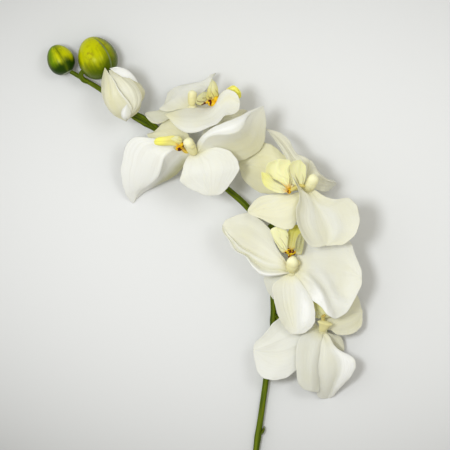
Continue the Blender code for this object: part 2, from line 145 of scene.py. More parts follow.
class Paint:
    """A material under construction: its node tree and its Principled shader."""

    def __init__(self, name: str) -> None:
        """Starts a material.

        Args:
            name: Its name.
        """
        self.material = bpy.data.materials.new(name)
        self.material.use_nodes = True
        self.tree = self.material.node_tree
        self.shader = self.tree.nodes["Principled BSDF"]

    def node(self, kind: str, settings: dict[str, Any], sockets: dict[Any, Any], output: int = 0) -> Socket:
        """Adds a node.

        Args:
            kind: The node's type.
            settings: Its properties, set before its sockets; "stops" gives a ramp's places and colours.
            sockets: The values or links of its inputs, by name or number.
            output: The number of the output that is wanted.

        Returns:
            That output.
        """
        node = self.tree.nodes.new(kind)
        for key, value in settings.items():
            if key == "stops":
                while len(node.color_ramp.elements) < len(value):
                    node.color_ramp.elements.new(0.5)
                for element, (place, colour) in zip(node.color_ramp.elements, value):
                    element.position = place
                    element.color = (*colour, 1)
            else:
                setattr(node, key, value)
        for key, value in sockets.items():
            if isinstance(value, Socket):
                self.tree.links.new(value.link, node.inputs[key])
            elif isinstance(node.inputs[key], bpy.types.NodeSocketColor):
                node.inputs[key].default_value = (*value, 1)
            else:
                node.inputs[key].default_value = value
        return Socket(self.tree, node.outputs[output])

    def place(self) -> Socket:
        """The piece's Object coordinates, in metres."""
        return self.node("ShaderNodeTexCoord", {}, {}, output=3)

    def axes(self, vector: Socket) -> list[Socket]:
        """The three numbers of a vector."""
        node = self.node("ShaderNodeSeparateXYZ", {}, {0: vector}).link.node
        return [Socket(self.tree, output) for output in node.outputs]

    def across_along(self) -> tuple[Socket, Socket]:
        """The share across the piece and the share along it, from its UV map."""
        across, along, _ = self.axes(self.node("ShaderNodeUVMap", {"uv_map": "UVMap"}, {}))
        return across, along

    def attribute(self, name: str) -> Socket:
        """A value that the mesh stores for each point."""
        return self.node("ShaderNodeAttribute", {"attribute_name": name}, {}, output=2)

    def vector(self, x: Socket | float, y: Socket | float, z: Socket | float = 0.0) -> Socket:
        """A vector from three numbers."""
        return self.node("ShaderNodeCombineXYZ", {}, {0: x, 1: y, 2: z})

    def noise(self, where: Socket, scale: float, detail: float = 2.0) -> Socket:
        """A noise value from 0 to 1."""
        return self.node("ShaderNodeTexNoise", {}, {"Vector": where, "Scale": scale, "Detail": detail})

    def mix(self, share: Socket | float, first: Any, second: Any) -> Socket:
        """A blend of two colours."""
        return self.node("ShaderNodeMix", {"data_type": "RGBA"}, {0: share, 6: first, 7: second}, output=2)

    def relief(self, height: Socket, depth: float, strength: float = 1.0) -> Socket:
        """A bumped normal."""
        return self.node("ShaderNodeBump", {},
                         {"Height": height, "Distance": depth * MM, "Strength": strength})

    def finish(self, sockets: dict[str, Any]) -> bpy.types.Material:
        """Sets the shader's inputs.

        Args:
            sockets: The values or links, by the input's name.

        Returns:
            The finished material.
        """
        for key, value in sockets.items():
            if isinstance(value, Socket):
                self.tree.links.new(value.link, self.shader.inputs[key])
            else:
                self.shader.inputs[key].default_value = value
        return self.material


class Tone(Enum):
    """The colours of the spray, in linear light."""

    # Painted highlight: the brighter white of petal parts that face the lamps.
    PAINTED_HIGHLIGHT_WHITE = (0.94, 0.94, 0.88)
    WHITE = (0.80, 0.80, 0.72)
    CREAM = (0.80, 0.76, 0.46)
    # Painted shade: the dull yellow-green of parts that lie in shade.
    PAINTED_SHADE_OLIVE = (0.30, 0.29, 0.12)
    VEIN = (0.68, 0.66, 0.56)
    LEMON = (0.92, 0.86, 0.10)
    BUTTER = (0.84, 0.76, 0.22)
    PALE_LEMON = (0.90, 0.88, 0.50)
    IVORY = (0.96, 0.93, 0.60)
    OCHRE = (0.66, 0.58, 0.20)
    ORANGE = (0.80, 0.42, 0.008)
    WINE = (0.10, 0.014, 0.008)
    LIME = (0.50, 0.52, 0.001)
    GRASS = (0.20, 0.24, 0.001)
    FERN = (0.13, 0.23, 0.001)
    LEAF = (0.075, 0.115, 0.001)
    MOSS = (0.010, 0.037, 0.001)
    STALK = (0.125, 0.17, 0.002)
    STALK_DARK = (0.050, 0.080, 0.001)
    BROWN = (0.20, 0.13, 0.004)
    ASH = (0.42, 0.46, 0.34)


@dataclass(frozen=True)
class PetalFinish:
    """Soft white tissue with fine lengthwise veins, which turns yellowish towards the root, with painted
    highlights (brighter white) and painted shade (yellowish and dull yellow-green) set per blade and per
    fold.
    """

    name: str = "petal"
    streaks: float = 26.0
    glow: float = 0.22

    def material(self) -> bpy.types.Material:
        """Makes the material.

        Returns:
            The material.
        """
        paint = Paint(self.name)
        across, along = paint.across_along()
        cream = paint.attribute("cream")
        streak = paint.noise(paint.vector(across * self.streaks, along * 1.6, cream * 9), 1.0, 3.0)
        cloud = paint.noise(paint.place(), 55.0, 2.0)
        # Painted highlight: a negative tint turns the tissue a brighter white.
        white = paint.mix(cream.step(0.0, -0.5), Tone.WHITE.value, Tone.PAINTED_HIGHLIGHT_WHITE.value)
        # A positive tint turns it yellowish: partly the tissue's own tone, partly painted shade.
        base = paint.mix((cream + (cloud - 0.5) * 0.5).step(0.0, 1.0), white, Tone.CREAM.value)
        rooted = paint.mix(along.step(0.30, 0.0) * 0.75, base, Tone.CREAM.value)
        # Painted shade: dull yellow-green where the tissue lies in shade.
        shaded = paint.mix(paint.attribute("olive") * (0.6 + cloud * 0.8), rooted, Tone.PAINTED_SHADE_OLIVE.value)
        veined = paint.mix(streak.step(0.50, 0.70) * 0.22, shaded, Tone.VEIN.value)
        grain = paint.noise(paint.place(), 1400.0, 2.0)
        height = streak * 0.85 + grain * 0.15
        return paint.finish({
            "Base Color": veined,
            "Roughness": 0.46 + cloud * 0.1,
            "Normal": paint.relief(height, 0.5, 0.55),
            "Subsurface Weight": self.glow,
            "Subsurface Radius": (1.0, 0.95, 0.7),
            "Subsurface Scale": 0.0025,
            "Specular IOR Level": 0.35,
        })


@dataclass(frozen=True)
class LipFinish:
    """Waxy yellow tissue of a lip's lobe, orange at its root, with a few wine-red strokes and blots, and
    painted shade where the lobe lies in shade.
    """

    name: str
    tip: Tone
    blade: Tone
    slant: float

    def material(self) -> bpy.types.Material:
        """Makes the material.

        Returns:
            The material.
        """
        paint = Paint(self.name)
        across, along = paint.across_along()
        cream, marks = paint.attribute("cream"), paint.attribute("marks")
        warp = paint.noise(paint.vector(across * 3, along * 3, cream * 9), 1.0, 2.0)
        blade = paint.mix((cream + (warp - 0.5) * 0.4).step(0.0, 1.0), self.blade.value,
                          Tone.PALE_LEMON.value)
        tip = paint.mix(cream * 0.6, self.tip.value, Tone.PALE_LEMON.value)
        tipped = paint.mix((along + (warp - 0.5) * 0.2).step(0.36, 0.8), blade, tip)
        rooted = paint.mix((along + (warp - 0.5) * 0.2).step(0.26, 0.06) * 0.8, tipped, Tone.ORANGE.value)
        # Painted shade: dull yellow-green where the lobe lies in shade.
        shaded = paint.mix(paint.attribute("olive"), rooted, Tone.PAINTED_SHADE_OLIVE.value)
        lines = (across * 20 + along * self.slant + warp * 4).wave().step(0.72, 0.97)
        band = along.step(0.2, 0.28) * along.step(0.66, 0.48)
        blots = paint.noise(paint.vector(across * 4, along * 7, cream * 9), 1.0, 1.0).step(0.5, 0.58)
        marked = paint.mix((lines * band * 0.75).most(blots * along.step(0.36, 0.22)) * marks, shaded,
                           Tone.WINE.value)
        streak = paint.noise(paint.vector(across * 16, along * 2), 1.0, 2.0)
        return paint.finish({
            "Base Color": marked,
            "Roughness": 0.36 + warp * 0.12,
            "Normal": paint.relief(streak, 0.3, 0.5),
            "Subsurface Weight": 0.2,
            "Subsurface Radius": (1.0, 0.8, 0.2),
            "Subsurface Scale": 0.002,
            "Specular IOR Level": 0.3,
        })


@dataclass(frozen=True)
class CallusFinish:
    """Shiny orange tissue, spotted with dark wine red."""

    name: str = "callus"

    def material(self) -> bpy.types.Material:
        """Makes the material.

        Returns:
            The material.
        """
        paint = Paint(self.name)
        where = paint.place()
        spotted = paint.attribute("spots")
        blots = paint.noise(where, 330.0, 1.0)
        tint = paint.noise(where, 240.0, 2.0)
        orange = paint.mix(tint.step(0.35, 0.65), Tone.ORANGE.value, (0.80, 0.56, 0.02))
        body = paint.mix(spotted.step(0.0, 0.5), Tone.OCHRE.value, orange)
        marked = paint.mix(blots.step(0.50, 0.56) * spotted.step(0.5, 1.0), body, Tone.WINE.value)
        return paint.finish({
            "Base Color": marked,
            "Roughness": 0.34 + tint * 0.15,
            "Normal": paint.relief(blots, 0.2, 0.5),
            "Specular IOR Level": 0.12,
            "Subsurface Weight": 0.1,
            "Subsurface Radius": (1.0, 0.5, 0.1),
            "Subsurface Scale": 0.0015,
        })


@dataclass(frozen=True)
class ColumnFinish:
    """Waxy ivory tissue of a column, ochre at its foot."""

    name: str = "column"

    def material(self) -> bpy.types.Material:
        """Makes the material.

        Returns:
            The material.
        """
        paint = Paint(self.name)
        _, along = paint.across_along()
        cloud = paint.noise(paint.place(), 190.0, 2.0)
        base = paint.mix(cloud.step(0.3, 0.75) * 0.3, Tone.IVORY.value, Tone.PALE_LEMON.value)
        foot = (along + (cloud - 0.5) * 0.3).step(0.42, 0.1) * 0.6
        footed = paint.mix(foot.most(paint.attribute("ochre")), base, Tone.OCHRE.value)
        return paint.finish({
            "Base Color": footed,
            "Roughness": 0.48 + cloud * 0.14,
            "Normal": paint.relief(cloud, 0.35, 0.5),
            "Specular IOR Level": 0.2,
            "Subsurface Weight": 0.2,
            "Subsurface Radius": (1.0, 0.95, 0.6),
            "Subsurface Scale": 0.002,
        })


@dataclass(frozen=True)
class StemFinish:
    """Smooth dark yellow-green bark of a flower stem, with long pale and dark streaks and a pale pith."""

    name: str = "stem"

    def material(self) -> bpy.types.Material:
        """Makes the material.

        Returns:
            The material.
        """
        paint = Paint(self.name)
        around, along = paint.across_along()
        streak = paint.noise(paint.vector(around * 7, along * 0.9), 1.0, 3.0)
        blotch = paint.noise(paint.place(), 130.0, 2.0)
        base = paint.mix(streak.step(0.36, 0.6), Tone.STALK_DARK.value, Tone.STALK.value)
        lit = paint.mix(streak.step(0.6, 0.8) * 0.5, base, (0.24, 0.28, 0.006))
        worn = paint.mix(blotch.step(0.6, 0.75) * 0.25, lit, Tone.BROWN.value)
        cut = paint.mix(paint.attribute("pale"), worn, (0.50, 0.53, 0.22))
        return paint.finish({
            "Base Color": cut,
            "Roughness": 0.5 + blotch * 0.16,
            "Normal": paint.relief(streak, 0.3, 0.5),
            "Specular IOR Level": 0.12,
        })


@dataclass(frozen=True)
class BudFinish:
    """Skin of a closed bud: blotched lime with painted light on the side that faces the lamps, and dark
    green at its foot and as painted shade on the side facing away.
    """

    name: str
    # The lit-side colour is painted light; the shaded-side colour is painted shade, and also colours the
    # seams.
    painted_lit_side: Tone
    middle: Tone
    flank: Tone
    foot: Tone

    def material(self) -> bpy.types.Material:
        """Makes the material.

        Returns:
            The material.
        """
        paint = Paint(self.name)
        _, along = paint.across_along()
        where = paint.place()
        cloud = paint.noise(where, 85.0, 3.0)
        fine = paint.noise(where, 420.0, 3.0)
        ring = (paint.attribute("east"), paint.attribute("north"))
        streak = paint.noise(paint.vector(ring[0] * 2.2, ring[1] * 2.2, along * 0.9), 1.6, 3.0)
        ragged = (streak - 0.5) * 1.5 + (cloud - 0.5) * 0.9
        # Painted light and shade: lime on the side that faces the lamps, dark green on the side facing
        # away, with a ragged blotched edge between.
        painted_shade_share = paint.attribute("flank") + ragged * 0.5
        body = paint.mix(painted_shade_share.step(0.08, 0.42), self.painted_lit_side.value, self.middle.value)
        body = paint.mix(painted_shade_share.step(0.42, 0.66), body, self.flank.value)
        blushed = paint.mix(fine.step(0.48, 0.66) * cloud.step(0.42, 0.6) * 0.5, body, Tone.BROWN.value)
        deep = paint.mix((paint.attribute("foot") + ragged * 0.5).step(0.1, 0.9), blushed, self.foot.value)
        on_seam = paint.attribute("seam") * (0.7 + ragged).most(0.0).least(1.0)
        seamed = paint.mix(on_seam, deep, self.flank.value)
        lined = paint.mix(paint.attribute("pale"), seamed, Tone.ASH.value)
        return paint.finish({
            "Base Color": lined,
            "Roughness": 0.22 + fine * 0.16,
            "Normal": paint.relief(fine * 0.4 + streak * 0.6, 0.4, 0.6),
            "Specular IOR Level": 0.22,
            "Specular Tint": (1.0, 1.0, 0.35, 1.0),
        })


@dataclass(frozen=True)
class FloorFinish:
    """Plain pale matt paper, greyer away from the middle of the picture: a painted falloff of light,
    painted shade towards the edges.
    """

    name: str = "floor"
    colour: Point = (0.80, 0.805, 0.80)
    # The painted shade at the edges, where the light falls off.
    edge: Point = (0.40, 0.40, 0.392)
    middle: tuple[float, float] = (0.075, 0.082)
    weights: tuple[float, float] = (10.4, 24.0)

    def material(self) -> bpy.types.Material:
        """Makes the material.

        Returns:
            The material.
        """
        paint = Paint(self.name)
        where = paint.place()
        fibre = paint.noise(where, 900.0, 3.0)
        x, y = (part - self.middle[index] for index, part in enumerate(paint.axes(where)[:2]))
        away = x * x * self.weights[0] + y * y * self.weights[1]
        # Painted shade: the paper greys away from the middle, as light falls off.
        fade = (away * 0.33 + away * away * 0.3).least(1.0)
        paper = paint.mix(fade, self.colour, self.edge)
        return paint.finish({
            "Base Color": paint.mix(fibre * 0.02, paper, (0.6, 0.6, 0.6)),
            "Roughness": 0.85,
            "Normal": paint.relief(fibre, 0.05, 0.2),
        })


def curve(points: np.ndarray, shares: np.ndarray) -> np.ndarray:
    """Points on a smooth curve.

    Args:
        points: The points that it passes through, evenly counted.
        shares: How far along the curve each wanted point is, from 0 to 1.

    Returns:
        The points, one row each.
    """
    last = len(points) - 1
    first = np.minimum((shares * last).astype(int), last - 1)
    t = (shares * last - first)[:, None]
    padded = np.vstack([2 * points[0] - points[1], points, 2 * points[-1] - points[-2]])
    before, a, b, after = (padded[first + step] for step in range(4))
    slope_a, slope_b = (b - before) / 2, (after - a) / 2
    return (
        a * (1 + 2 * t) * (1 - t) ** 2 + b * t**2 * (3 - 2 * t)
        + slope_a * t * (1 - t) ** 2 - slope_b * t**2 * (1 - t)
    )


def unit(vectors: np.ndarray) -> np.ndarray:
    """The vectors at length 1."""
    return vectors / np.maximum(np.linalg.norm(vectors, axis=-1, keepdims=True), 1e-9)


def spread(cells: int) -> np.ndarray:
    """Shares from -1 to 1 that lie closer together near both ends."""
    even = np.linspace(-1, 1, cells + 1)
    return 0.25 * even + 0.75 * np.sin(even * math.pi / 2)


class Sculpt:
    """A mesh in the making, in millimetres, with a UV map and named values for each point."""

    def __init__(self, *values: str) -> None:
        """Starts an empty mesh.

        Args:
            values: The names of the point attributes that its material reads.
        """
        self.bm = bmesh.new()
        self.uv = self.bm.loops.layers.uv.new("UVMap")
        self.layers = {value: self.bm.verts.layers.float.new(value) for value in values}

    def wrap(self, rings: np.ndarray, values: dict[str, Any] | None = None,
             spans: tuple[float, float] = (1, 1)) -> None:
        """Adds a closed skin: a grid bent so that its two sides meet.

        Args:
            rings: A table of points, rows along the piece and columns round it, the last as the first.
            values: A number, or a table of the rings' size, for each point attribute.
            spans: What the UV map measures round and along.
        """
        rows, columns = rings.shape[0] - 1, rings.shape[1] - 1
        made = bmesh.ops.create_grid(self.bm, x_segments=columns, y_segments=rows, size=1)["verts"]
        cells = {}
        for vertex in made:
            column = round((vertex.co.x + 1) / 2 * columns)
            row = round((vertex.co.y + 1) / 2 * rows)
            cells[vertex] = (row, column)
            vertex.co = rings[row, column]
            for name, value in (values or {}).items():
                vertex[self.layers[name]] = value[row, column] if isinstance(value, np.ndarray) else value
        faces = {face for vertex in made for face in vertex.link_faces}
        for face in faces:
            for loop in face.loops:
                row, column = cells[loop.vert]
                loop[self.uv].uv = (column / columns * spans[0], row / rows * spans[1])
        bmesh.ops.remove_doubles(self.bm, verts=made, dist=MERGE)
        kept = [face for face in faces if face.is_valid]
        bmesh.ops.recalc_face_normals(self.bm, faces=kept)

    def blade(self, blade: "Blade", root: Point, detail: tuple[int, int], thick: float) -> None:
        """Adds a petal or a lobe as a thin skin that closes round its edge.

        Args:
            blade: Its form.
            root: The point that it grows from.
            detail: Its columns and rows.
            thick: Its thickness in the middle.
        """
        columns, rows = detail
        sheet = blade.surface(root, columns, rows)
        normal = unit(np.cross(np.gradient(sheet, axis=1), np.gradient(sheet, axis=0)))
        across = spread(columns)[None, :]
        along = np.linspace(0, 1, rows + 1)[:, None]
        edge = np.sqrt(1 - across**60) * np.sqrt(1 - along**90)
        half = thick / 2 * edge * (0.45 + 0.55 * (1 - across**2)) * (1 + 0.7 * np.exp(-along / 0.1))
        offset = normal * half[:, :, None]
        rings = np.concatenate([sheet + offset, (sheet - offset)[:, -2::-1]], axis=1)
        tints = blade.tints(across, along)
        values = {
            name: np.concatenate([tints[name], tints[name][:, -2::-1]], axis=1) for name in self.layers
        }
        self.wrap_blade(rings, values)

    def wrap_blade(self, rings: np.ndarray, values: dict[str, np.ndarray]) -> None:
        """Adds a blade's skin, with the same share across on both of its faces.

        Args:
            rings: Its points, over the front and back under the back.
            values: The point attributes.
        """
        before = set(self.bm.faces)
        self.wrap(rings, values)
        for face in set(self.bm.faces) - before:
            for loop in face.loops:
                share = loop[self.uv].uv.x * 2
                loop[self.uv].uv.x = share if share <= 1 else 2 - share

    def tube(
        self,
        route: np.ndarray,
        radii: np.ndarray,
        around: int,
        values: dict[str, Any] | None = None,
        squash: float = 1.0,
    ) -> None:
        """Adds a round skin along a route.

        Args:
            route: The centre of each ring.
            radii: The radius of each ring, or of each point of each ring.
            around: How many faces go round it.
            values: The point attributes.
            squash: The share of its width that its second side measures.
        """
        step, order = np.gradient(route, axis=0), np.arange(len(route))
        moving = np.linalg.norm(step, axis=1) > 1e-6
        ahead = unit(np.stack([np.interp(order, order[moving], part) for part in step[moving].T], axis=1))
        side = np.zeros_like(route)
        start = np.cross(ahead[0], (0, 0, 1) if abs(ahead[0][2]) < 0.9 else (0, 1, 0))
        side[0] = unit(start)
        for index in range(1, len(route)):
            flat = side[index - 1] - ahead[index] * (side[index - 1] @ ahead[index])
            side[index] = unit(flat)
        up = np.cross(side, ahead)
        angles = np.linspace(0, 2 * math.pi, around + 1)
        radii = radii if radii.ndim == 2 else radii[:, None] * np.ones(around + 1)
        spokes = (
            side[:, None, :] * np.cos(angles)[None, :, None]
            + up[:, None, :] * np.sin(angles)[None, :, None] * squash
        )
        length = np.linalg.norm(np.diff(route, axis=0), axis=1).sum()
        self.wrap(route[:, None, :] + spokes * radii[:, :, None], values, (1, length / 30))

    def ball(self, centre: Point, radii: Point, detail: int,
             values: dict[str, float] | None = None) -> None:
        """Adds a ball.

        Args:
            centre: Its middle.
            radii: Its three radii.
            detail: How many faces go round it.
            values: The point attributes.
        """
        made = bmesh.ops.create_uvsphere(self.bm, u_segments=detail, v_segments=detail // 2,
                                         radius=1)["verts"]
        for vertex in made:
            vertex.co = Vector(c + r * v for c, r, v in zip(centre, radii, vertex.co))
            for name, value in (values or {}).items():
                vertex[self.layers[name]] = value

    def done(self, name: str, node: str, material: bpy.types.Material) -> bpy.types.Object:
        """Turns the mesh into a piece of the part.

        Args:
            name: The piece's name.
            node: The solid that it stands for.
            material: Its material.

        Returns:
            The piece.
        """
        bmesh.ops.scale(self.bm, vec=(MM, MM, MM), verts=self.bm.verts)
        ends = [*self.bm.verts, *self.bm.edges, *self.bm.faces]
        if min(vertex.co.z for vertex in self.bm.verts) < 0:
            bmesh.ops.bisect_plane(
                self.bm, geom=ends, dist=1e-7, plane_co=(0, 0, FLOOR_GAP), plane_no=(0, 0, 1),
                clear_inner=True,
            )
            bmesh.ops.holes_fill(self.bm, edges=[edge for edge in self.bm.edges if edge.is_boundary])
        mesh = bpy.data.meshes.new(name)
        self.bm.to_mesh(mesh)
        self.bm.free()
        mesh.shade_smooth()
        mesh.materials.append(material)
        piece = bpy.data.objects.new(name, mesh)
        bpy.context.scene.collection.objects.link(piece)
        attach(piece, BODY)
        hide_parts(node)
        log.info("%s: %d faces", name, len(mesh.polygons))
        return piece


@dataclass(frozen=True)
class Fold:
    """A ridge that runs along a blade, or a groove where its height is negative, with tints that paint
    light or shade along it.

    It runs from one share across at the root to another at the tip: -1 is the left edge and 1 the right.
    """

    root: float
    tip: float
    height: float
    width: float = 0.12
    start: float = 0.0
    end: float = 1.0
    # Tints it adds: the first paints a highlight where negative and a yellowish tone, partly painted shade,
    # where positive; the second paints shade.
    cream: float = 0.0
    olive: float = 0.0

    def share(self, across: np.ndarray, along: np.ndarray) -> np.ndarray:
        """How strongly it shows, from 0 beside it to 1 at its middle.

        Args:
            across: The shares across.
            along: The shares along.

        Returns:
            The shares.
        """
        line = self.root + (self.tip - self.root) * along
        run = np.clip((along - self.start) / (self.end - self.start), 0, 1)
        return np.exp(-(((across - line) / self.width) ** 2)) * np.sin(math.pi * run**1.25) ** 1.2


@dataclass(frozen=True)
class Blade:
    """A tepal, or a lobe of the lip: a thin blade from its root to the last point of its midrib.

    Left and right are seen from the front with the tip up. A crease of 1 folds it sharply along the midrib,
    a puff pushes the halves out to the front, and a roll turns the edges up to the front.
    """

    midrib: tuple[Point, ...]
    left: tuple[Point, ...]
    right: tuple[Point, ...]
    crease: float = 0.0
    puff: tuple[float, float] = (0, 0)
    wave: float = 0.0
    waves: float = 2.0
    phase: float = 0.0
    roll: tuple[float, float] = (0, 0)
    folds: tuple[Fold, ...] = ()
    pleat: float = 0.05
    groove: float = 0.3
    wobble: float = 0.3
    # Tints of the whole blade: the first is a yellowish tone, partly its own and partly painted shade, or a
    # painted highlight where negative; the second paints shade.
    cream: float = 0.22
    olive: float = 0.0
    marks: float = 0.0
    root: Point | None = None

    def surface(self, root: Point, columns: int, rows: int) -> np.ndarray:
        """The blade's middle surface, with finer columns at its edges.

        Args:
            root: The point that it grows from.
            columns: How many cells it has across.
            rows: How many cells it has along.

        Returns:
            A table of points, rows along the blade and columns from left to right.
        """
        along = np.linspace(0, 1, rows + 1)
        near = np.clip(along, 0.04, 0.96)
        midrib, left, right = (
            np.array(points, float)
            for points in (
                (root, *self.midrib), (root, *self.left, self.midrib[-1]),
                (root, *self.right, self.midrib[-1])
            )
        )
        forward = curve(midrib, near + 0.02) - curve(midrib, near - 0.02)
        front = unit(np.cross(curve(right, near) - curve(left, near), forward))[:, None, :]
        middle, on_left, on_right = (curve(points, along)[:, None, :] for points in (midrib, left, right))
        across = spread(columns)[None, :, None]
        along = along[:, None, None]
        t = np.abs(across)
        side = np.where(across >= 0, 1.0, -1.0)
        seed = self.seed() * side
        frill = 0.012 * np.sin(2 * math.pi * 3.7 * along + seed)
        frill = frill + 0.008 * np.sin(2 * math.pi * 9.1 * along + 2 * seed)
        reach = np.where(across >= 0, on_right - middle, on_left - middle) * (1 + frill)
        straight = (on_right - on_left) / 2 * side
        start = straight + (reach - straight) * self.crease
        return middle + start * t + (reach - start) * t**2 + front * self.lift(across, along)

    def tints(self, across: np.ndarray, along: np.ndarray) -> dict[str, np.ndarray]:
        """The values that its material reads, each with what the folds add to it; the first two also hold
        painted light and shade.

        Args:
            across: The shares across, from -1 to 1.
            along: The shares along, from 0 to 1.

        Returns:
            A table for each value.
        """
        plain = np.zeros(np.broadcast(across, along).shape)
        cream, olive = plain + self.cream, plain + self.olive
        for fold in self.folds:
            cream = cream + fold.cream * fold.share(across, along)
            olive = olive + fold.olive * fold.share(across, along)
        return {"cream": cream, "olive": olive, "marks": plain + self.marks, "pale": plain}

    def seed(self) -> float:
        """A number that differs from blade to blade, for its small irregularities."""
        return self.midrib[-1][0] + 1.7 * self.midrib[-1][1]

    def lift(self, across: np.ndarray, along: np.ndarray) -> np.ndarray:
        """How far the surface stands out to the front of its plain form.

        Args:
            across: The shares across, from -1 to 1.
            along: The shares along, from 0 to 1.

        Returns:
            The heights.
        """
        t = np.abs(across)
        swell = np.sin(math.pi * along)
        soft = np.sqrt(np.clip(swell, 0, 1))
        seed, turn = self.seed(), math.radians(self.phase)
        lift = np.where(across >= 0, self.puff[1], self.puff[0]) * 4 * t * (1 - t) * swell
        lift = lift + self.wave * t**2 * swell * np.sin(2 * math.pi * self.waves * along + across + turn)
        roll = np.where(across >= 0, self.roll[1], self.roll[0])
        lift = lift + roll * np.clip((t - 0.6) / 0.4, 0, 1) ** 2 * soft
        lift = lift - self.groove * np.exp(-((across / 0.06) ** 2)) * soft
        for fold in self.folds:
            lift = lift + fold.height * fold.share(across, along)
        pleats = np.sin(16 * across + seed) + 0.8 * np.sin(27 * across + 2 * seed)
        pleats = pleats + 0.5 * np.sin(43 * across + seed)
        lift = lift + self.pleat * pleats * swell * (1 - t**8)
        lift = lift + (
            self.wobble * np.sin(2.6 * across + 5.2 * along + seed) * np.sin(4.4 * along + seed) * swell
        )
        ripple = np.sin(2 * math.pi * 6.3 * along + seed + across)
        ripple = ripple + 0.6 * np.sin(2 * math.pi * 11.7 * along + 2 * seed)
        return lift + 0.14 * t**6 * swell * ripple


@dataclass(frozen=True)
class Flower:
    """One open flower: its heart, its front, its five tepals, its column's bend and tip, and its lip."""

    name: str
    heart: Point
    faces: Point
    stalk: tuple[Point, ...]
    tepals: tuple[Blade, ...]
    column: tuple[Point, Point]
    lip_root: Point
    lobes: tuple[Blade, ...]
    callus: Point = (2.0, 2.0, 2.4)
    heart_radius: float = 3.2
    column_radius: tuple[float, float] = (2.4, 3.3)
    cap_radius: float = 3.7
    cap_wide: float = 1.0
    ochre: float = 0.0
    spots: float = 1.0
    claw_spots: float = 0.1
    knobs: tuple[tuple[Point, float], ...] = ()
    bumps: tuple[tuple[Point, float], ...] = ()
    widest: float = 0.6
    seat_gap: float = 0.5
    petal_detail: tuple[int, int] = (56, 72)
    lobe_detail: tuple[int, int] = (28, 36)

    def build(self, petal: bpy.types.Material, finishes: dict[str, bpy.types.Material]) -> None:
        """Builds the flower's pieces.

        Args:
            petal: The tepals' material.
            finishes: The other materials by the name of the piece.
        """
        self.build_tepals(petal)
        self.build_column(finishes["column"])
        self.build_lip(finishes)

    def build_tepals(self, material: bpy.types.Material) -> None:
        """Builds the tepals and the knob that they sit on.

        Args:
            material: Their material.
        """
        sculpt = Sculpt("cream", "olive")
        sculpt.ball(self.heart, (self.heart_radius,) * 3, 32, {"cream": 1.0})
        for tepal in self.tepals:
            sculpt.blade(tepal, tepal.root or self.heart, self.petal_detail, TEPAL_THICK)
        sculpt.done(self.name + "_petals", self.name + "_tepals", material)

    def column_route(self) -> np.ndarray:
        """The seat, the bend and the tip of the column."""
        heart, bend, tip = (np.array(point, float) for point in (self.heart, *self.column))
        return np.array([heart + unit(bend - heart) * (self.heart_radius + self.seat_gap), bend, tip])

    def build_column(self, material: bpy.types.Material) -> None:
        """Builds the column: an egg on a narrow foot, with a groove round its cap and a few soft knobs.

        Args:
            material: Its material.
        """
        sculpt = Sculpt("ochre")
        seat, bend, tip = self.column_route()
        share = np.linspace(0, 1, COLUMN_ROWS + 1)
        route = curve(np.array([seat, bend, tip, tip + unit(tip - bend) * self.cap_radius]), share)
        rise = np.clip(share / self.widest, 0, 1)
        neck = self.column_radius[0] + (self.cap_radius - self.column_radius[0]) * rise**2 * (3 - 2 * rise)
        past = np.clip((share - self.widest + 0.02) / (1.02 - self.widest), 0, 1)
        dome = np.sqrt(np.clip(1 - past**2, 0, 1))
        groove = 1 - 0.05 * np.exp(-(((share - 0.56) / 0.03) ** 2))
        angles = np.linspace(0, 2 * math.pi, COLUMN_AROUND + 1)
        lobed = 1 + 0.07 * np.cos(3 * angles + 0.6)[None, :] * share[:, None]
        radii = (neck * dome * groove)[:, None] * lobed
        wide = 1 + (self.cap_wide - 1) * rise[:, None]
        radii = radii * wide / np.hypot(np.cos(angles)[None, :], wide * np.sin(angles)[None, :])
        radii[0] = 0
        route[0] = route[1]
        sculpt.tube(route, radii, COLUMN_AROUND, {"ochre": self.ochre})
        for centre, radius in self.knobs:
            sculpt.ball(centre, (radius,) * 3, KNOB_AROUND, {"ochre": self.ochre})
        sculpt.done(self.name + "_pillar", self.name + "_column", material)

    def claw_route(self) -> np.ndarray:
        """The centre line of the lip's claw.

        Returns:
            Its points, from the side of the column at its bend to the callus.
        """
        seat, bend, tip = self.column_route()
        root = np.array(self.lip_root, float)
        ahead = unit(tip - seat)
        out = unit(root - bend - ahead * ((root - bend) @ ahead))
        end = bend + out * (sum(self.column_radius) / 2 + self.seat_gap)
        return np.array([end, end + out * np.linalg.norm(root - end) * 0.3, root])

    def build_lip(self, finishes: dict[str, bpy.types.Material]) -> None:
        """Builds the middle lobe, the side lobes, and the callus on its claw.

        Args:
            finishes: The materials by the name of the piece.
        """
        node = self.name + "_lip"
        middle = Sculpt("cream", "olive", "marks")
        middle.blade(self.lobes[0], self.lip_root, self.lobe_detail, MIDDLE_LOBE_THICK)
        middle.done(self.name + "_lip_middle", node, finishes["middle"])
        sides = Sculpt("cream", "olive", "marks")
        for lobe in self.lobes[1:]:
            sides.blade(lobe, self.lip_root, self.lobe_detail, SIDE_LOBE_THICK)
        sides.done(self.name + "_lip_sides", node, finishes["side"])
        callus = Sculpt("spots")
        share = np.linspace(0, 1, CLAW_ROWS + 1)
        radii = 1.1 + 0.3 * share
        radii[0] = 0
        route = curve(self.claw_route(), share)
        route[0] = route[1]
        callus.tube(route, radii, CLAW_AROUND, {"spots": self.claw_spots})
        self.add_callus(callus)
        for centre, radius in self.bumps:
            callus.ball(centre, (radius,) * 3, KNOB_AROUND, {"spots": 0.5})
        callus.done(self.name + "_callus", node, finishes["callus"])

    def add_callus(self, callus: Sculpt) -> None:
        """Adds the callus: a cleft knob of two rounded halves.

        Args:
            callus: The mesh that it goes into.
        """
        root = np.array(self.lip_root, float)
        along = unit(np.array(self.lobes[0].midrib[0], float) - root)
        side = unit(np.cross(along, np.array(self.faces, float)))
        for turn in (-1, 1):
            centre = root + side * turn * self.callus[0] * 0.5
            radii = (self.callus[0] * 0.72, self.callus[1] * 0.72, self.callus[2])
            callus.ball(tuple(centre), radii, 28, {"spots": self.spots})
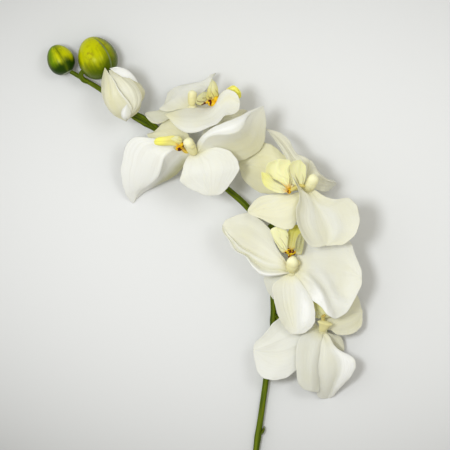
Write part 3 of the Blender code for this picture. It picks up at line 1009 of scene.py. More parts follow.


# In these tables the two tints of each blade and fold hold painted light and shade as well as colour:
# highlights where the first is negative, shade where the second is set.
FLOWERS = (
    Flower(
        "bloom_1", heart=(83, -8.5, 16), faces=(-0.2, 0.1, 0.97),
        stalk=((48.2, 2, 5.3), (58, -3, 5.5), (72, -8, 5.5)),
        tepals=(
            Blade(midrib=((74, -11.5, 16.5), (66, -15, 17), (58, -18.5, 17), (50, -21, 16.2),
                          (42, -22, 16.2), (34.4, -22, 16.8)),
                  left=((77, -17, 14.5), (71, -28, 15), (65, -36, 15.5), (56, -42, 16.2), (46, -43.4, 17),
                        (38.5, -39, 17.2), (35.4, -30, 17)),
                  right=((77, -3, 14.5), (68, 1, 15.5), (57, 2, 16.7), (48, -3.5, 17), (41, -12.3, 17.2),
                         (35.7, -17, 17.2)),
                  wave=0.5, roll=(0.5, 0.3), cream=0.15, groove=0.0, pleat=0.03,
                  folds=(Fold(-0.35, -0.2, -0.5, 0.25, olive=0.05), Fold(0.4, 0.3, 0.4, 0.2),
                         Fold(0.8, 0.8, 0, 0.5, olive=0.09),
                         Fold(-0.85, -0.9, 0, 0.3, cream=-0.2))),
            Blade(midrib=((80, -13.5, 18.5), (77.5, -20, 19.8), (75.7, -28, 19.8), (75, -36, 18.5),
                          (75, -44, 16.5), (75.5, -51.4, 13.5)),
                  left=((82.8, -13, 18.3), (82, -20, 18.7), (81.2, -28, 18), (80.8, -36, 16.2),
                        (81, -44, 13.3), (80.3, -51.3, 10)),
                  right=((75, -8.5, 18), (68.5, -11.5, 19.7), (65, -18, 20.5), (64, -27, 20),
                         (64.6, -37, 18.5), (65.5, -44.5, 16.5), (69.5, -49.4, 14.4)),
                  cream=0.15, groove=0.0, pleat=0.02, olive=0.16,
                  folds=(Fold(0.5, 0.5, -0.3, 0.4, olive=0.07), Fold(-0.8, -0.7, -0.3, 0.3, olive=0.06),
                         Fold(0.0, 0.0, 0.3, 0.3, cream=-0.1))),
            Blade(midrib=((85.5, -17, 19), (87.5, -25, 19.2), (89, -33, 17.5), (89.3, -41, 14),
                          (87.8, -49, 8), (86, -56.6, -0.8)),
                  left=((87.5, -12.5, 17.8), (91, -19, 18.5), (96.5, -23.2, 18.8), (103, -26.6, 18.5),
                        (106.2, -32, 17.5), (104.3, -38.5, 15),
                        (99, -44.6, 11), (94, -50, 6.5), (90.5, -54.8, 2)),
                  right=((83, -13, 18.7), (80.8, -21, 19.4), (79.3, -31, 18.4), (78.5, -41, 15),
                         (79, -50, 9.6), (80.3, -55.8, 3.5)),
                  wave=0.3, cream=0.2, groove=0.0, pleat=0.02, olive=0.04,
                  folds=(Fold(-0.2, -0.3, -0.4, 0.2, 0.2, 1, olive=0.1), Fold(0.35, 0.2, 0.5, 0.3),
                         Fold(0.85, 0.8, -0.2, 0.25, olive=0.08),
                         Fold(-0.75, -0.7, 0.6, 0.3, cream=-0.9, olive=-0.04))),
            Blade(midrib=((92, -3, 16), (102, 2, 13.5), (110.9, 5, 9)),
                  left=((86, 4, 14), (94, 13, 13), (106, 17, 9)),
                  right=((88, -8, 15.5), (92, -11, 14.5), (98, -12, 12.5), (105.5, -9.9, 10.5),
                         (110, -5, 9)), cream=0.6, roll=(0, 1.0), olive=0.03),
            Blade(midrib=((87, -13, 12), (92, -18, 8), (98, -23.3, 4)),
                  left=((89, -11, 12), (95.5, -13, 8), (98, -19, 5)),
                  right=((85, -15, 11), (88, -20, 7), (93.5, -23, 4)), cream=0.5),
        ),
        column=((82.8, -8.2, 21.4), (84.4, -4.2, 24.4)), column_radius=(0.9, 1.5), cap_radius=2.2,
        cap_wide=2.6, widest=0.84, ochre=0.62,
        callus=(1.4, 1.4, 1.8), spots=0.2,
        lip_root=(83.5, 1.5, 20),
        lobes=(
            Blade(midrib=((82.3, 4, 20), (81, 10, 21), (80, 16, 21)),
                  left=((79.3, 2.6, 20), (76.3, 8, 20), (76.5, 13, 21)),
                  right=((86.6, 3, 20), (87.8, 8, 21), (84, 14, 21)), olive=0.08, cream=0.8),
            Blade(midrib=((82, 1.2, 20.2), (80, 1.6, 20.8), (77.8, 2.2, 21)),
                  left=((82.4, 3.4, 20.4), (80.5, 4.8, 20.9), (78.3, 4.8, 21)),
                  right=((81.5, 0.2, 20.3), (79.6, 0, 20.9), (77.8, 0.4, 21)), olive=0.25, cream=0.8),
            Blade(midrib=((85.2, 1.6, 20.3), (87, 2.2, 20.8), (88.6, 3, 21)),
                  left=((84.8, 0.6, 20.4), (86.8, 0.8, 20.9), (88.2, 1.4, 21)),
                  right=((84.6, 3.8, 20.4), (86.4, 4.6, 20.9), (88.2, 4.8, 21)), olive=0.25, cream=0.8),
        ),
    ),
    Flower(
        "bloom_2", heart=(61, 32, 24), faces=(0, 0.3, 0.95),
        stalk=((48, 15, 6.2), (52, 18.5, 8.5), (57.5, 24.5, 13)),
        tepals=(
            Blade(midrib=((54, 38, 27), (46, 42, 26.5), (37, 46.5, 26), (28, 51.5, 27), (20, 57.5, 28.5),
                          (12.9, 64.8, 28.5)),
                  left=((57, 31, 25), (48.5, 29.2, 26), (40, 29.8, 26.5), (34.2, 35.3, 27),
                        (28.6, 43, 27.5), (20.5, 47.6, 28), (16.6, 55, 29), (13, 60.5, 29)),
                  right=((57, 40.2, 26), (53, 46, 27), (49.3, 53, 28), (47, 60.5, 28.5), (40, 68.4, 28.5),
                         (31.5, 73.5, 28.5), (22, 71.6, 28.5), (15.5, 68.8, 28.8)),
                  crease=0.2, roll=(0.5, 0.4), cream=0.4, groove=0.0, pleat=0.04,
                  folds=(Fold(-0.86, -0.9, 2.6, 0.12, -0.55, 0.95, cream=-1.0),
                         Fold(-0.6, -0.66, -1.2, 0.11, -0.2, 0.85, olive=0.22),
                         Fold(-0.1, -0.25, -1.3, 0.06, 0.1, 1, olive=0.2),
                         Fold(-0.28, -0.42, 0.9, 0.1, cream=-0.2),
                         Fold(0.35, 0.25, 0.5, 0.15), Fold(0.62, 0.5, -0.4, 0.1, olive=0.05),
                         Fold(-0.95, -1.0, 0, 0.35, 0.72, 1.15, olive=0.35),
                         Fold(0.2, 0.2, 0, 0.7, 0.4, 1.2, olive=0.07))),
            Blade(midrib=((70, 36, 27), (80, 35.5, 25.5), (90, 34, 24.5), (99, 32, 24.5), (106, 30, 26),
                          (110.3, 27.5, 28)),
                  left=((64, 40, 25), (66, 48, 26), (71, 56, 27.5), (80, 61, 29), (93, 61, 29),
                        (102, 53.5, 28.5), (106.5, 42, 28), (109.7, 34, 28)),
                  right=((65, 25, 26), (72, 16.3, 28), (76.5, 11.8, 29), (81, 9, 29.5), (85, 3.3, 29),
                         (90, 0, 28), (96.5, 1.8, 27), (102, 6.8, 27), (107, 16.8, 27.5), (110, 23.5, 28)),
                  wave=0.3, phase=90, cream=0.3, groove=0.0, pleat=0.03,
                  folds=(Fold(0.15, 1.75, 1.7, 0.16, 0, 0.66, cream=-0.3),
                         Fold(-0.12, 1.6, -1.3, 0.17, 0.05, 0.8, olive=0.16),
                         Fold(-0.42, 1.43, 1.2, 0.19, 0.15, 1, cream=-0.3),
                         Fold(-0.8, 1.3, -0.7, 0.17, 0.2, 1.0, olive=0.03),
                         Fold(-0.3, -0.2, 0.5, 0.3), Fold(0.2, 0.1, 0, 0.5, olive=0.07),
                         Fold(0.95, 0.95, 0, 0.3, 0.05, 0.62, cream=-0.9),
                         Fold(-0.8, -0.8, 0, 0.3, 0, 0.7, cream=-0.5))),
            Blade(midrib=((60.5, 26, 26), (61.3, 18, 25.8), (62, 10, 25.5), (62.8, 2, 25),
                          (63.5, -5, 24.5), (64.5, -11.4, 24)),
                  left=((66, 27.5, 27), (72.3, 18.5, 28.5), (76.8, 9, 28.8), (77.8, 0, 28),
                        (75.3, -6.2, 26), (70.5, -10.2, 24.2)),
                  right=((54, 28.5, 27), (48, 23, 27.5), (48.3, 15.5, 28), (50.3, 6.5, 27.5),
                         (53.8, -2.4, 26.5), (57.2, -7.6, 25), (60.7, -10.7, 24)),
                  cream=0.35, pleat=0.035, groove=0.0,
                  folds=(Fold(0.3, 0.25, -0.3, 0.04, olive=0.05), Fold(0.5, 0.45, -0.3, 0.04, olive=0.05),
                         Fold(0.05, 0.05, -0.25, 0.05, olive=0.04),
                         Fold(0.85, 0.85, -0.3, 0.3, olive=0.1), Fold(-0.6, -0.6, 0.5, 0.35, cream=-0.8),
                         Fold(0.6, 0.6, 0, 0.3, olive=0.05))),
            Blade(midrib=((53, 27, 19), (49, 22, 16), (48.5, 13, 12)),
                  left=((56, 25, 20), (54, 19, 17), (52, 15, 14)),
                  right=((46, 31, 18), (41.8, 28, 16), (44, 19.5, 13)), olive=0.08),
            Blade(midrib=((66, 40, 20), (73, 49, 17), (81, 57, 13)),
                  left=((62, 43, 19), (65, 52, 16), (74, 58, 13)),
                  right=((71, 38, 20), (79, 44, 17), (83, 52, 13))),
        ),
        column=((61.3, 34.5, 28.5), (61.8, 39.3, 33.5)), cap_radius=4.2,
        knobs=(((65, 38.8, 31.5), 2.2), ((63, 35, 30.5), 2.3)),
        lip_root=(60, 46.5, 29), callus=(3.6, 3.0, 2.8), claw_spots=0.9,
        lobes=(
            Blade(midrib=((61.5, 52, 29.5), (62.8, 58, 30), (65, 65.4, 29)),
                  left=((58.5, 51, 30), (58.3, 58, 31), (60.5, 64, 30)),
                  right=((64.5, 50, 30), (67, 56.5, 31), (68, 62, 30)), olive=0.25),
            Blade(midrib=((56.3, 48.5, 31.5), (54.3, 54, 33.5), (52.8, 59.5, 35.5), (51, 64.2, 36.5)),
                  left=((54.3, 46, 30), (50.8, 51.3, 32), (47.6, 57.3, 34), (46.6, 62, 35.5)),
                  right=((58.2, 47.5, 31), (58.8, 54, 33.5), (58.6, 59.5, 35.5), (56, 62.9, 36.5)),
                  puff=(0.5, 0.5), cream=1.0, marks=0.45),
            Blade(midrib=((65.3, 48, 31), (66.8, 53.5, 33.5), (68.8, 60, 35)),
                  left=((63.6, 47.5, 32), (63.9, 53, 35), (66.3, 58.5, 36)),
                  right=((67.2, 44.3, 31), (69.3, 50, 33), (70, 56.5, 34)), puff=(-0.8, -0.8), cream=1.0,
                  olive=0.6, marks=0.1),
        ),
    ),
    Flower(
        "bloom_3", heart=(71, 89, 38), faces=(0.25, 0.3, 0.9),
        stalk=((41, 59, 7.8), (47, 64.5, 11), (60, 78, 24)),
        tepals=(
            Blade(midrib=((73.5, 86, 42), (76.5, 80, 41.5), (79.5, 73.5, 41), (82, 66.5, 40.5),
                          (84, 60, 40), (85, 55, 39.7), (84.8, 50.5, 39.5)),
                  left=((76.5, 90, 40), (83, 85.7, 41), (91, 83.2, 41.5), (100.5, 83.8, 42),
                        (107, 78.5, 42), (108.6, 69.5, 41.5), (106, 59.3, 41),
                        (98.5, 51.9, 40.5), (91.5, 51, 40)),
                  right=((67.4, 90.2, 47), (60.7, 100.8, 51), (64.8, 92.5, 50.5), (66.4, 85, 49.5),
                         (64.2, 75.5, 49), (65.3, 64.5, 47.5), (69.7, 55.6, 45),
                         (75.5, 49.8, 42.3)),
                  wave=0.6, waves=1.5, cream=0.4, olive=0.05, groove=0.0, pleat=0.035,
                  folds=(Fold(0.0, -0.15, -0.5, 0.12, olive=0.05),
                         Fold(0.15, 0.45, 0.6, 0.16, cream=-0.2), Fold(-0.2, -0.54, 0.6, 0.2, cream=-0.2),
                         Fold(-0.5, -0.8, -0.4, 0.2, olive=0.03), Fold(0.75, 0.8, -0.5, 0.2, olive=0.06),
                         Fold(0.95, 0.97, 0.6, 0.1),
                         Fold(0.1, 0.1, 0, 0.8, 0.5, 1.2, olive=0.08))),
            Blade(midrib=((64, 83, 41), (57, 80, 40.5), (49.5, 77.8, 38.5), (41, 76, 37.5),
                          (35.5, 75, 37), (30.3, 74, 36.5)),
                  left=((66, 72.5, 39), (62.6, 63.8, 40), (56.3, 61.8, 40), (48.6, 65, 39),
                        (40, 69.2, 38), (33.5, 71.8, 37.2)),
                  right=((66, 88, 36), (58, 86.3, 37), (50.5, 86.6, 37.5), (42, 85.8, 37.5),
                         (35.8, 82.6, 37.5), (31.3, 77.2, 37)), cream=0.6,
                  folds=(Fold(0.4, 0.3, -0.6, 0.2), Fold(-0.5, -0.5, 0.5, 0.2))),
            Blade(midrib=((57, 98, 33), (47.5, 102, 30), (36, 105.5, 25), (24, 107.5, 19)),
                  left=((57.5, 89, 31.5), (50.5, 87.2, 28), (42.5, 87, 24.5), (34.5, 90.4, 20.5),
                        (27.3, 97.4, 18)),
                  right=((61.5, 108, 32), (54, 115.5, 29.5), (46, 121.8, 27), (37, 122.3, 24),
                         (28, 116, 21)), cream=0.7, olive=0.12,
                  folds=(Fold(0.35, 0.3, -0.9, 0.18),)),
            Blade(midrib=((67, 101, 36.5), (62.5, 110, 36), (57.5, 118, 34), (51.5, 125.5, 30),
                          (43.2, 132.5, 25)),
                  left=((60.5, 103, 39), (57.3, 111.5, 39.5), (52.5, 120, 38), (47, 127.4, 33)),
                  right=((78.5, 102, 31.5), (73, 110.8, 31.5), (64.5, 115.5, 31), (60, 123.7, 28.5),
                         (54, 129.2, 26)), cream=0.45,
                  folds=(Fold(-0.4, -0.4, 0.5, 0.14), Fold(0.3, 0.2, -0.6, 0.14))),
            Blade(midrib=((78, 97, 34), (85, 95.3, 29.5), (90, 94.6, 18), (92.4, 94.2, -0.8)),
                  left=((74, 110, 32), (80, 102, 31), (86, 97.4, 25), (90.3, 96.4, 11)),
                  right=((78, 90, 33.5), (84, 88.2, 28.5), (89, 90.2, 16), (91.3, 92.3, 7)), cream=0.4,
                  folds=(Fold(-0.4, -0.3, 0.8, 0.2),)),
        ),
        column=((73.3, 91.5, 42.5), (76, 96.8, 47.5)), cap_radius=4.0, knobs=(((73.3, 91.8, 44.5), 2.7),),
        lip_root=(59.6, 89, 42.5),
        lobes=(
            Blade(midrib=((54, 90.5, 43), (47.5, 94, 44.5), (42.3, 98, 46.5), (40, 102, 48)),
                  left=((54.5, 87.2, 42.5), (47.5, 89, 43.5), (41.5, 93.6, 45.5)),
                  right=((55, 92.3, 43.5), (49, 95.5, 45), (44.9, 100.5, 47.5)), roll=(0.8, 0.8),
                  cream=0.9, marks=0.15),
            Blade(midrib=((56.5, 96, 43.5), (51.8, 103.5, 44.2), (52.5, 111, 46.7)),
                  left=((52.5, 95.5, 43.3), (43.4, 100, 45.3), (44.5, 108, 47)),
                  right=((59.5, 97, 44), (60.3, 104, 46.2), (59.8, 110, 46.9)), puff=(-1.5, -1.5),
                  cream=0.8, marks=0.12),
            Blade(midrib=((63.5, 94, 44), (65, 102, 46.5), (67, 110.6, 48)),
                  left=((60.3, 96, 45), (58.3, 103.5, 47.8), (61, 109, 49)),
                  right=((67, 90.5, 44), (70.6, 97.5, 48), (71, 106, 48.5)), puff=(-1, -1), cream=0.9,
                  olive=0.2, marks=0.6),
        ),
    ),
    Flower(
        "bloom_4", heart=(-6, 115, 34), faces=(-0.2, 0.35, 0.9),
        stalk=((8, 98, 9.3), (6, 101, 13), (0, 108, 22)),
        tepals=(
            Blade(midrib=((-3.3, 118, 39), (-0.3, 122.5, 44), (3.7, 126.5, 48), (9.5, 128.2, 50.5),
                          (17, 128.6, 51.5), (23.5, 130.5, 51), (27.7, 135, 48.5),
                          (31.5, 141.5, 44), (41.5, 148.3, 37.5)),
                  left=((-5, 119.5, 38), (-4.6, 122.3, 41), (-2, 126.4, 44.5), (3, 130.9, 47),
                        (10, 134.6, 48.5), (18, 138, 48.8), (26, 141.3, 47),
                        (33, 145.3, 43)),
                  right=((0, 115.5, 37), (5, 112.8, 34), (11, 110.5, 31), (19, 109.7, 29),
                         (27, 110.2, 28.5), (35, 113.8, 29), (41.3, 121, 30),
                         (43.5, 131, 32), (43, 141, 35)),
                  crease=1.0, puff=(0.5, -1.2), cream=0.2, groove=0.0, pleat=0.03,
                  folds=(Fold(0.9, 0.9, 0, 0.85, cream=0.45, olive=0.06),
                         Fold(-0.5, -0.5, 0, 0.4, cream=-0.6), Fold(0.45, 0.4, -0.5, 0.2))),
            Blade(midrib=((-3.5, 113.5, 38), (-0.5, 109, 41), (1.5, 103.5, 42), (3, 97.5, 41.5),
                          (4.3, 91.5, 40), (5, 85.4, 38)),
                  left=((2, 118, 38), (9, 119.3, 40), (17.5, 116.8, 42), (23.4, 110.7, 43),
                        (24.5, 104, 43), (20.7, 96.8, 41.8), (16.7, 91.3, 40.5),
                        (11.5, 86.5, 39)),
                  right=((-10, 114, 36.5), (-13.7, 108.5, 38.5), (-15.2, 101.5, 39), (-16.8, 95.5, 38.5),
                         (-10.5, 90.8, 38), (-4.5, 87.8, 38), (0, 86, 38)),
                  cream=0.15, pleat=0.03, groove=0.1,
                  folds=(Fold(-0.05, 0.15, -0.45, 0.06), Fold(-0.5, -0.4, 0.4, 0.25),
                         Fold(0.5, 0.5, -0.3, 0.12))),
            Blade(midrib=((-13, 117.3, 34), (-21, 118, 35.8), (-27.7, 112.8, 36.5), (-30, 105, 34),
                          (-32.5, 98.5, 29), (-38.5, 93.2, 20.5),
                          (-45.5, 88.3, 10), (-49.6, 79.8, -0.8)),
                  left=((-10, 112, 31), (-13.3, 109.3, 26), (-16, 103.3, 19.5), (-22, 98.3, 13.5),
                        (-29, 94.8, 9), (-35.5, 91.3, 6), (-41, 88.6, 3.5),
                        (-46.5, 84, 1.5)),
                  right=((-14, 121, 34.5), (-24, 124.5, 33), (-35, 125.6, 29.5), (-46, 126.6, 25),
                         (-54, 122, 20.5), (-57.6, 109, 16), (-57.5, 98, 12),
                         (-55.8, 89, 7), (-53.3, 84, 3)),
                  crease=1.0, puff=(-1.0, 0.3), cream=-0.25, groove=0.0, pleat=0.03,
                  folds=(Fold(0.3, 0.3, 0.3, 0.1), Fold(0.6, 0.5, -0.3, 0.1),
                         Fold(0.15, 0.1, 0, 0.3, cream=0.1),
                         Fold(-0.95, -0.95, 0, 0.3, -0.1, 0.75, cream=1.0, olive=0.75),
                         Fold(-0.35, -0.35, 0, 0.3, olive=0.02))),
            Blade(midrib=((-15, 122, 28), (-26, 130, 24), (-40, 128.5, 18)),
                  left=((-19, 119, 27), (-29, 124, 22), (-37, 124.5, 18)),
                  right=((-12, 130, 26), (-24, 140, 23), (-34.5, 130.7, 19)), cream=0.75),
            Blade(midrib=((2, 126, 28), (8, 135, 22), (13, 143, 15)),
                  left=((-2, 125, 27), (1, 135, 22), (8, 142, 16)),
                  right=((7, 124, 27), (15, 132, 21), (17, 140, 15))),
        ),
        column=((-7.8, 116.8, 39.2), (-10.6, 122.3, 43.5)), cap_radius=3.8,
        knobs=(((-11.8, 120.8, 43.5), 2.2), ((-8.5, 119.8, 44), 2.3)),
        lip_root=(-16.5, 119.8, 40), callus=(3.4, 2.6, 2.6), claw_spots=0.3,
        lobes=(
            Blade(midrib=((-22, 123.4, 40.5), (-28.5, 123.4, 41), (-34.8, 123.4, 40.5)),
                  left=((-21, 120.5, 39.5), (-28, 120.2, 40), (-33.8, 121, 40)),
                  right=((-19.5, 126.8, 41), (-27, 126.6, 41.5), (-33, 125.6, 41)), roll=(-0.8, -0.8),
                  cream=0.2),
            Blade(midrib=((-16.5, 123, 42), (-19, 124.7, 44), (-22, 125.7, 45)),
                  left=((-18.5, 122, 43), (-21, 123.7, 45), (-23, 125, 46)),
                  right=((-15, 124.5, 41), (-17, 126.7, 43), (-20, 127, 44)), cream=0.4, marks=0.4),
            Blade(midrib=((-18, 118.7, 39.6), (-19.6, 118.4, 40), (-21, 118.8, 40.5)),
                  left=((-17, 117.6, 39.5), (-18.8, 117, 40), (-20.3, 117.6, 40.5)),
                  right=((-18.8, 120, 39.5), (-20.4, 119.8, 40), (-21.3, 119.8, 40.5)), cream=0.8,
                  olive=0.5),
        ),
    ),
    Flower(
        "bloom_5", heart=(-8, 146.5, 30), faces=(0, 0.88, 0.47),
        stalk=((-18, 121.5, 10), (-14, 128, 13), (-10, 137, 19)),
        tepals=(
            Blade(midrib=((-20, 139.5, 41.5), (-12, 138, 43), (-4, 138, 43.5), (4, 140, 42.5),
                          (10, 145, 41), (15, 150, 40), (20, 151.5, 40.7),
                          (25.3, 150.5, 42.5)),
                  left=((-20, 144.5, 37), (-12, 146.6, 33), (-3, 146.9, 32), (4, 147.2, 33),
                        (8.7, 151, 34), (11.3, 156.2, 36), (14.8, 159.6, 38.5),
                        (19, 159, 40), (23.3, 156, 41.5)),
                  right=((-24, 138.9, 40.5), (-19, 133.3, 43.5), (-13, 129.6, 45.5), (-5, 129.4, 46),
                         (3, 132.7, 46.5), (9, 135.2, 47),
                         (12, 138.9, 46.5), (15, 141.6, 46), (20, 142, 45.5), (24.2, 145, 44.5)),
                  wave=0.4, waves=2.5, cream=0.2, olive=0.06, groove=0.0, pleat=0.03,
                  root=(-27.4, 142.3, 39),
                  folds=(Fold(0.85, 0.85, 0.3, 0.2, 0, 0.7, cream=-0.2),
                         Fold(-0.3, -0.3, 0.4, 0.3, 0.5, 1.1, cream=0.3),
                         Fold(0.1, 0.1, -0.4, 0.3, 0.3, 0.8, olive=0.03),
                         Fold(-0.1, -0.1, 0.3, 0.3, 0, 0.5),
                         Fold(0.3, 0.3, 0, 0.8, -0.4, 0.4, olive=0.12))),
            Blade(midrib=((-12, 151, 26), (-13, 156, 22), (-9, 159.5, 19), (-4, 161.8, 17),
                          (1, 164.5, 15), (5, 168, 13.5), (8.5, 171.4, 11)),
                  left=((-17, 146, 28.5), (-24, 144.3, 27.5), (-31, 145.7, 25), (-28.7, 148.6, 23.5),
                        (-26.8, 153, 20), (-25.2, 157.5, 17),
                        (-20.5, 161.4, 14.5), (-14, 163.5, 12.5), (-7, 164.4, 12), (-0.5, 165.9, 11.5),
                        (4.3, 170, 11)),
                  right=((-7, 151, 27), (-4.5, 153.6, 25), (-1.5, 156.8, 22.5), (1.3, 159.6, 20.5),
                         (3.4, 162.3, 18), (5, 165.5, 16), (5.6, 168.3, 14)),
                  cream=0.15, pleat=0.03, groove=0.0, olive=0.03,
                  folds=(Fold(-0.5, -0.4, 0.6, 0.25, cream=-0.2),
                         Fold(-0.92, -0.92, 0, 0.3, 0, 0.8, olive=0.1),
                         Fold(0, 0, 0, 0.5, 0.82, 1.1, olive=0.5),
                         Fold(-0.6, -0.6, 0, 0.4, -0.3, 0.4, olive=0.08))),
            Blade(midrib=((-17, 144, 28), (-24, 142.6, 26), (-31, 141.2, 23.5), (-36.5, 141.2, 21),
                          (-41.5, 142.7, 18.5)),
                  left=((-19, 141.5, 27), (-24, 139.6, 25.5), (-28, 137, 24.2), (-32.5, 135.7, 22),
                        (-37, 137, 20), (-40, 140.2, 18.5)),
                  right=((-19, 149, 24.5), (-26, 148.5, 23), (-32, 145.3, 22.3), (-36.5, 144.5, 20.5),
                         (-40, 144, 19)),
                  cream=0.2, olive=0.32, groove=0.0, pleat=0.02,
                  folds=(Fold(-0.93, -0.93, 0.5, 0.1, 0, 1, cream=0.4, olive=-0.14),
                         Fold(0.1, 0.1, -0.3, 0.3, olive=0.03))),
            Blade(midrib=((4, 142, 27), (17, 139.5, 24), (30.5, 145, 20)),
                  left=((6, 147, 24), (18, 143.5, 21), (26, 146, 19)),
                  right=((2, 137, 28), (14, 134.5, 26), (24, 139.5, 22)), cream=0.5),
            Blade(midrib=((-2, 149, 19), (4, 152, 10), (10, 153, 4)),
                  left=((-2, 153, 20), (4, 158, 11), (9, 157, 5)),
                  right=((0, 145, 20), (8, 147, 11), (13, 150, 5))),
        ),
        column=((-8.3, 150.8, 32.5), (-8.2, 156, 35)), cap_radius=3.2,
        lip_root=(4, 151, 32.5), callus=(2.8, 3.2, 2.2), claw_spots=0.5,
        bumps=(((6.6, 149.8, 33.4), 2.5), ((8.8, 152.8, 33.8), 2.1)),
        lobes=(
            Blade(midrib=((9, 151.5, 31), (16, 155, 32), (23, 159.3, 34), (26, 156, 34.5)),
                  left=((7.5, 155.8, 31), (12, 156.5, 32), (17, 160.9, 33.5), (21, 162.4, 34),
                        (25, 158.8, 34.5)),
                  right=((8, 147.5, 31), (17, 149.5, 32), (25, 153.5, 34)), roll=(1, 0), cream=0.1),
            Blade(midrib=((4.6, 155.5, 34), (5.3, 160.8, 34.5), (5.6, 166.9, 33.5)),
                  left=((1.7, 153.5, 34), (2.2, 158.6, 34.5), (3.9, 163.4, 34)),
                  right=((9.5, 153.7, 33), (10, 158.5, 34), (8.8, 163.6, 33.5)), cream=0.0, olive=0.36,
                  marks=0.6,
                  folds=(Fold(0.6, 0.6, 0.6, 0.3),)),
            Blade(midrib=((0.8, 152.5, 33.5), (-0.4, 154.8, 34.4), (-0.3, 158, 34.5)),
                  left=((-2, 148.5, 34), (-5.6, 150.5, 35), (-4.2, 155, 35)),
                  right=((2.6, 152.5, 33), (2.8, 155.5, 33.5), (1.6, 157.8, 34)), cream=0.5, olive=0.5,
                  marks=1.0),
        ),
    ),
)


@dataclass(frozen=True)
class OpeningBud:
    """The white bud that is about to open: a core and the sepals that wrap round it from its foot."""

    foot: Point = (-54.5, 137.8, 24)
    centre: Point = (-57, 156, 25)
    axis: Point = (-13, 33, 1)
    radii: Point = (11.8, 11.2, 17)
    # The sepals' tints hold painted light and shade as well as colour, as in the blooms.
    sepals: tuple[Blade, ...] = (
        Blade(midrib=((-60.5, 144, 33), (-64.5, 150, 36), (-66, 157, 37), (-67, 165, 35),
                      (-69.2, 175.2, 26.5)),
              left=((-62.5, 141.6, 26.5), (-67.8, 147.5, 25.5), (-71.2, 156, 25), (-71.4, 166, 24.5)),
              right=((-52.5, 141, 32), (-49.8, 146.2, 36.5), (-52.3, 151.6, 38.8), (-57.2, 157, 39.8),
                     (-60, 161.6, 39.3), (-62.2, 165.8, 37.6),
                     (-66, 170.8, 33.5)),
              cream=0.6, groove=0.0, olive=0.06,
              folds=(Fold(0.0, 0.1, -0.5, 0.2, cream=0.2), Fold(-0.5, -0.4, 0.5, 0.2),
                                                        Fold(0.94, 0.94, 0.6, 0.07, cream=-0.4,
                                                             olive=-0.06),
                                                        Fold(0.78, 0.78, -0.4, 0.07, olive=0.06))),
        Blade(midrib=((-50, 143.5, 33), (-47.5, 151, 36), (-50.5, 160, 37), (-57.5, 167.5, 35),
                      (-66.5, 173.3, 28.5)),
              left=((-54.5, 144, 34), (-56, 152, 37.2), (-60.5, 160, 38), (-65, 168.5, 34.4)),
              right=((-48.3, 143.5, 29.5), (-43.8, 150.5, 31.5), (-44.2, 158.5, 32.5), (-50.5, 166.6, 32),
                     (-60, 172.3, 29.3)),
              cream=0.5, groove=0.0, folds=(Fold(-0.1, -0.1, 0.3, 0.12),
                                            Fold(0.25, 0.35, -0.4, 0.12, olive=0.06),
                                            Fold(0.93, 0.93, 0.5, 0.1, cream=0.3, olive=0.08))),
        Blade(midrib=((-47.5, 147, 27), (-43.5, 154, 28), (-44.5, 161, 29), (-52, 167.5, 29.5),
                      (-63, 173, 27)),
              left=((-50, 145.5, 31), (-46, 152, 31.5), (-47, 159.5, 32), (-53, 166.5, 31)),
              right=((-49, 144.5, 20), (-42, 154, 20.5), (-42, 160.5, 22), (-49.5, 167.5, 25)), cream=0.8,
              groove=0.0, olive=0.0),
        Blade(midrib=((-50, 150, 24), (-46.5, 160, 27), (-51, 169.3, 31), (-58, 173.3, 31),
                      (-66, 174.4, 27)),
              left=((-57, 150, 29), (-53, 160, 33), (-56, 167.5, 34), (-62, 171.5, 32.5)),
              right=((-47, 150, 22), (-45.5, 162, 26), (-51, 171.6, 30), (-59.5, 175.4, 30)), cream=-0.4,
              groove=0.0),
        Blade(midrib=((-57, 147, 15), (-60, 160, 14), (-66, 172, 24)),
              left=((-49, 146, 18), (-48, 158, 16), (-55, 170, 20)),
              right=((-65, 146, 22), (-70, 158, 20), (-69.5, 166, 23)), cream=0.6, groove=0.0),
        Blade(midrib=((-54.3, 139.6, 33.5), (-54, 144, 36.6), (-53, 150.5, 38.2)),
              left=((-57.5, 140.5, 32.5), (-57.3, 145, 36.4)),
              right=((-52, 140, 32.5), (-50.7, 144, 35.8)), cream=0.3, groove=0.0,
              folds=(Fold(-0.5, -0.5, 0, 0.4, cream=-0.8),)),
    )

    def build(self, material: bpy.types.Material) -> None:
        """Builds the bud.

        Args:
            material: Its material.
        """
        sculpt = Sculpt("cream", "olive")
        axis = unit(np.array(self.axis, float))
        share = np.linspace(-1, 1, 33)
        route = np.array(self.centre, float) + axis * share[:, None] * self.radii[2]
        radii = np.sqrt(np.clip(1 - share**2, 0, 1)) * (self.radii[0] - 0.12 * self.radii[0] * share)
        sculpt.tube(route, radii, 48, {"cream": 0.6}, self.radii[1] / self.radii[0])
        for sepal in self.sepals:
            sculpt.blade(sepal, self.foot, (40, 60), 0.62)
        sculpt.done("opening_bud", "bud_white", material)


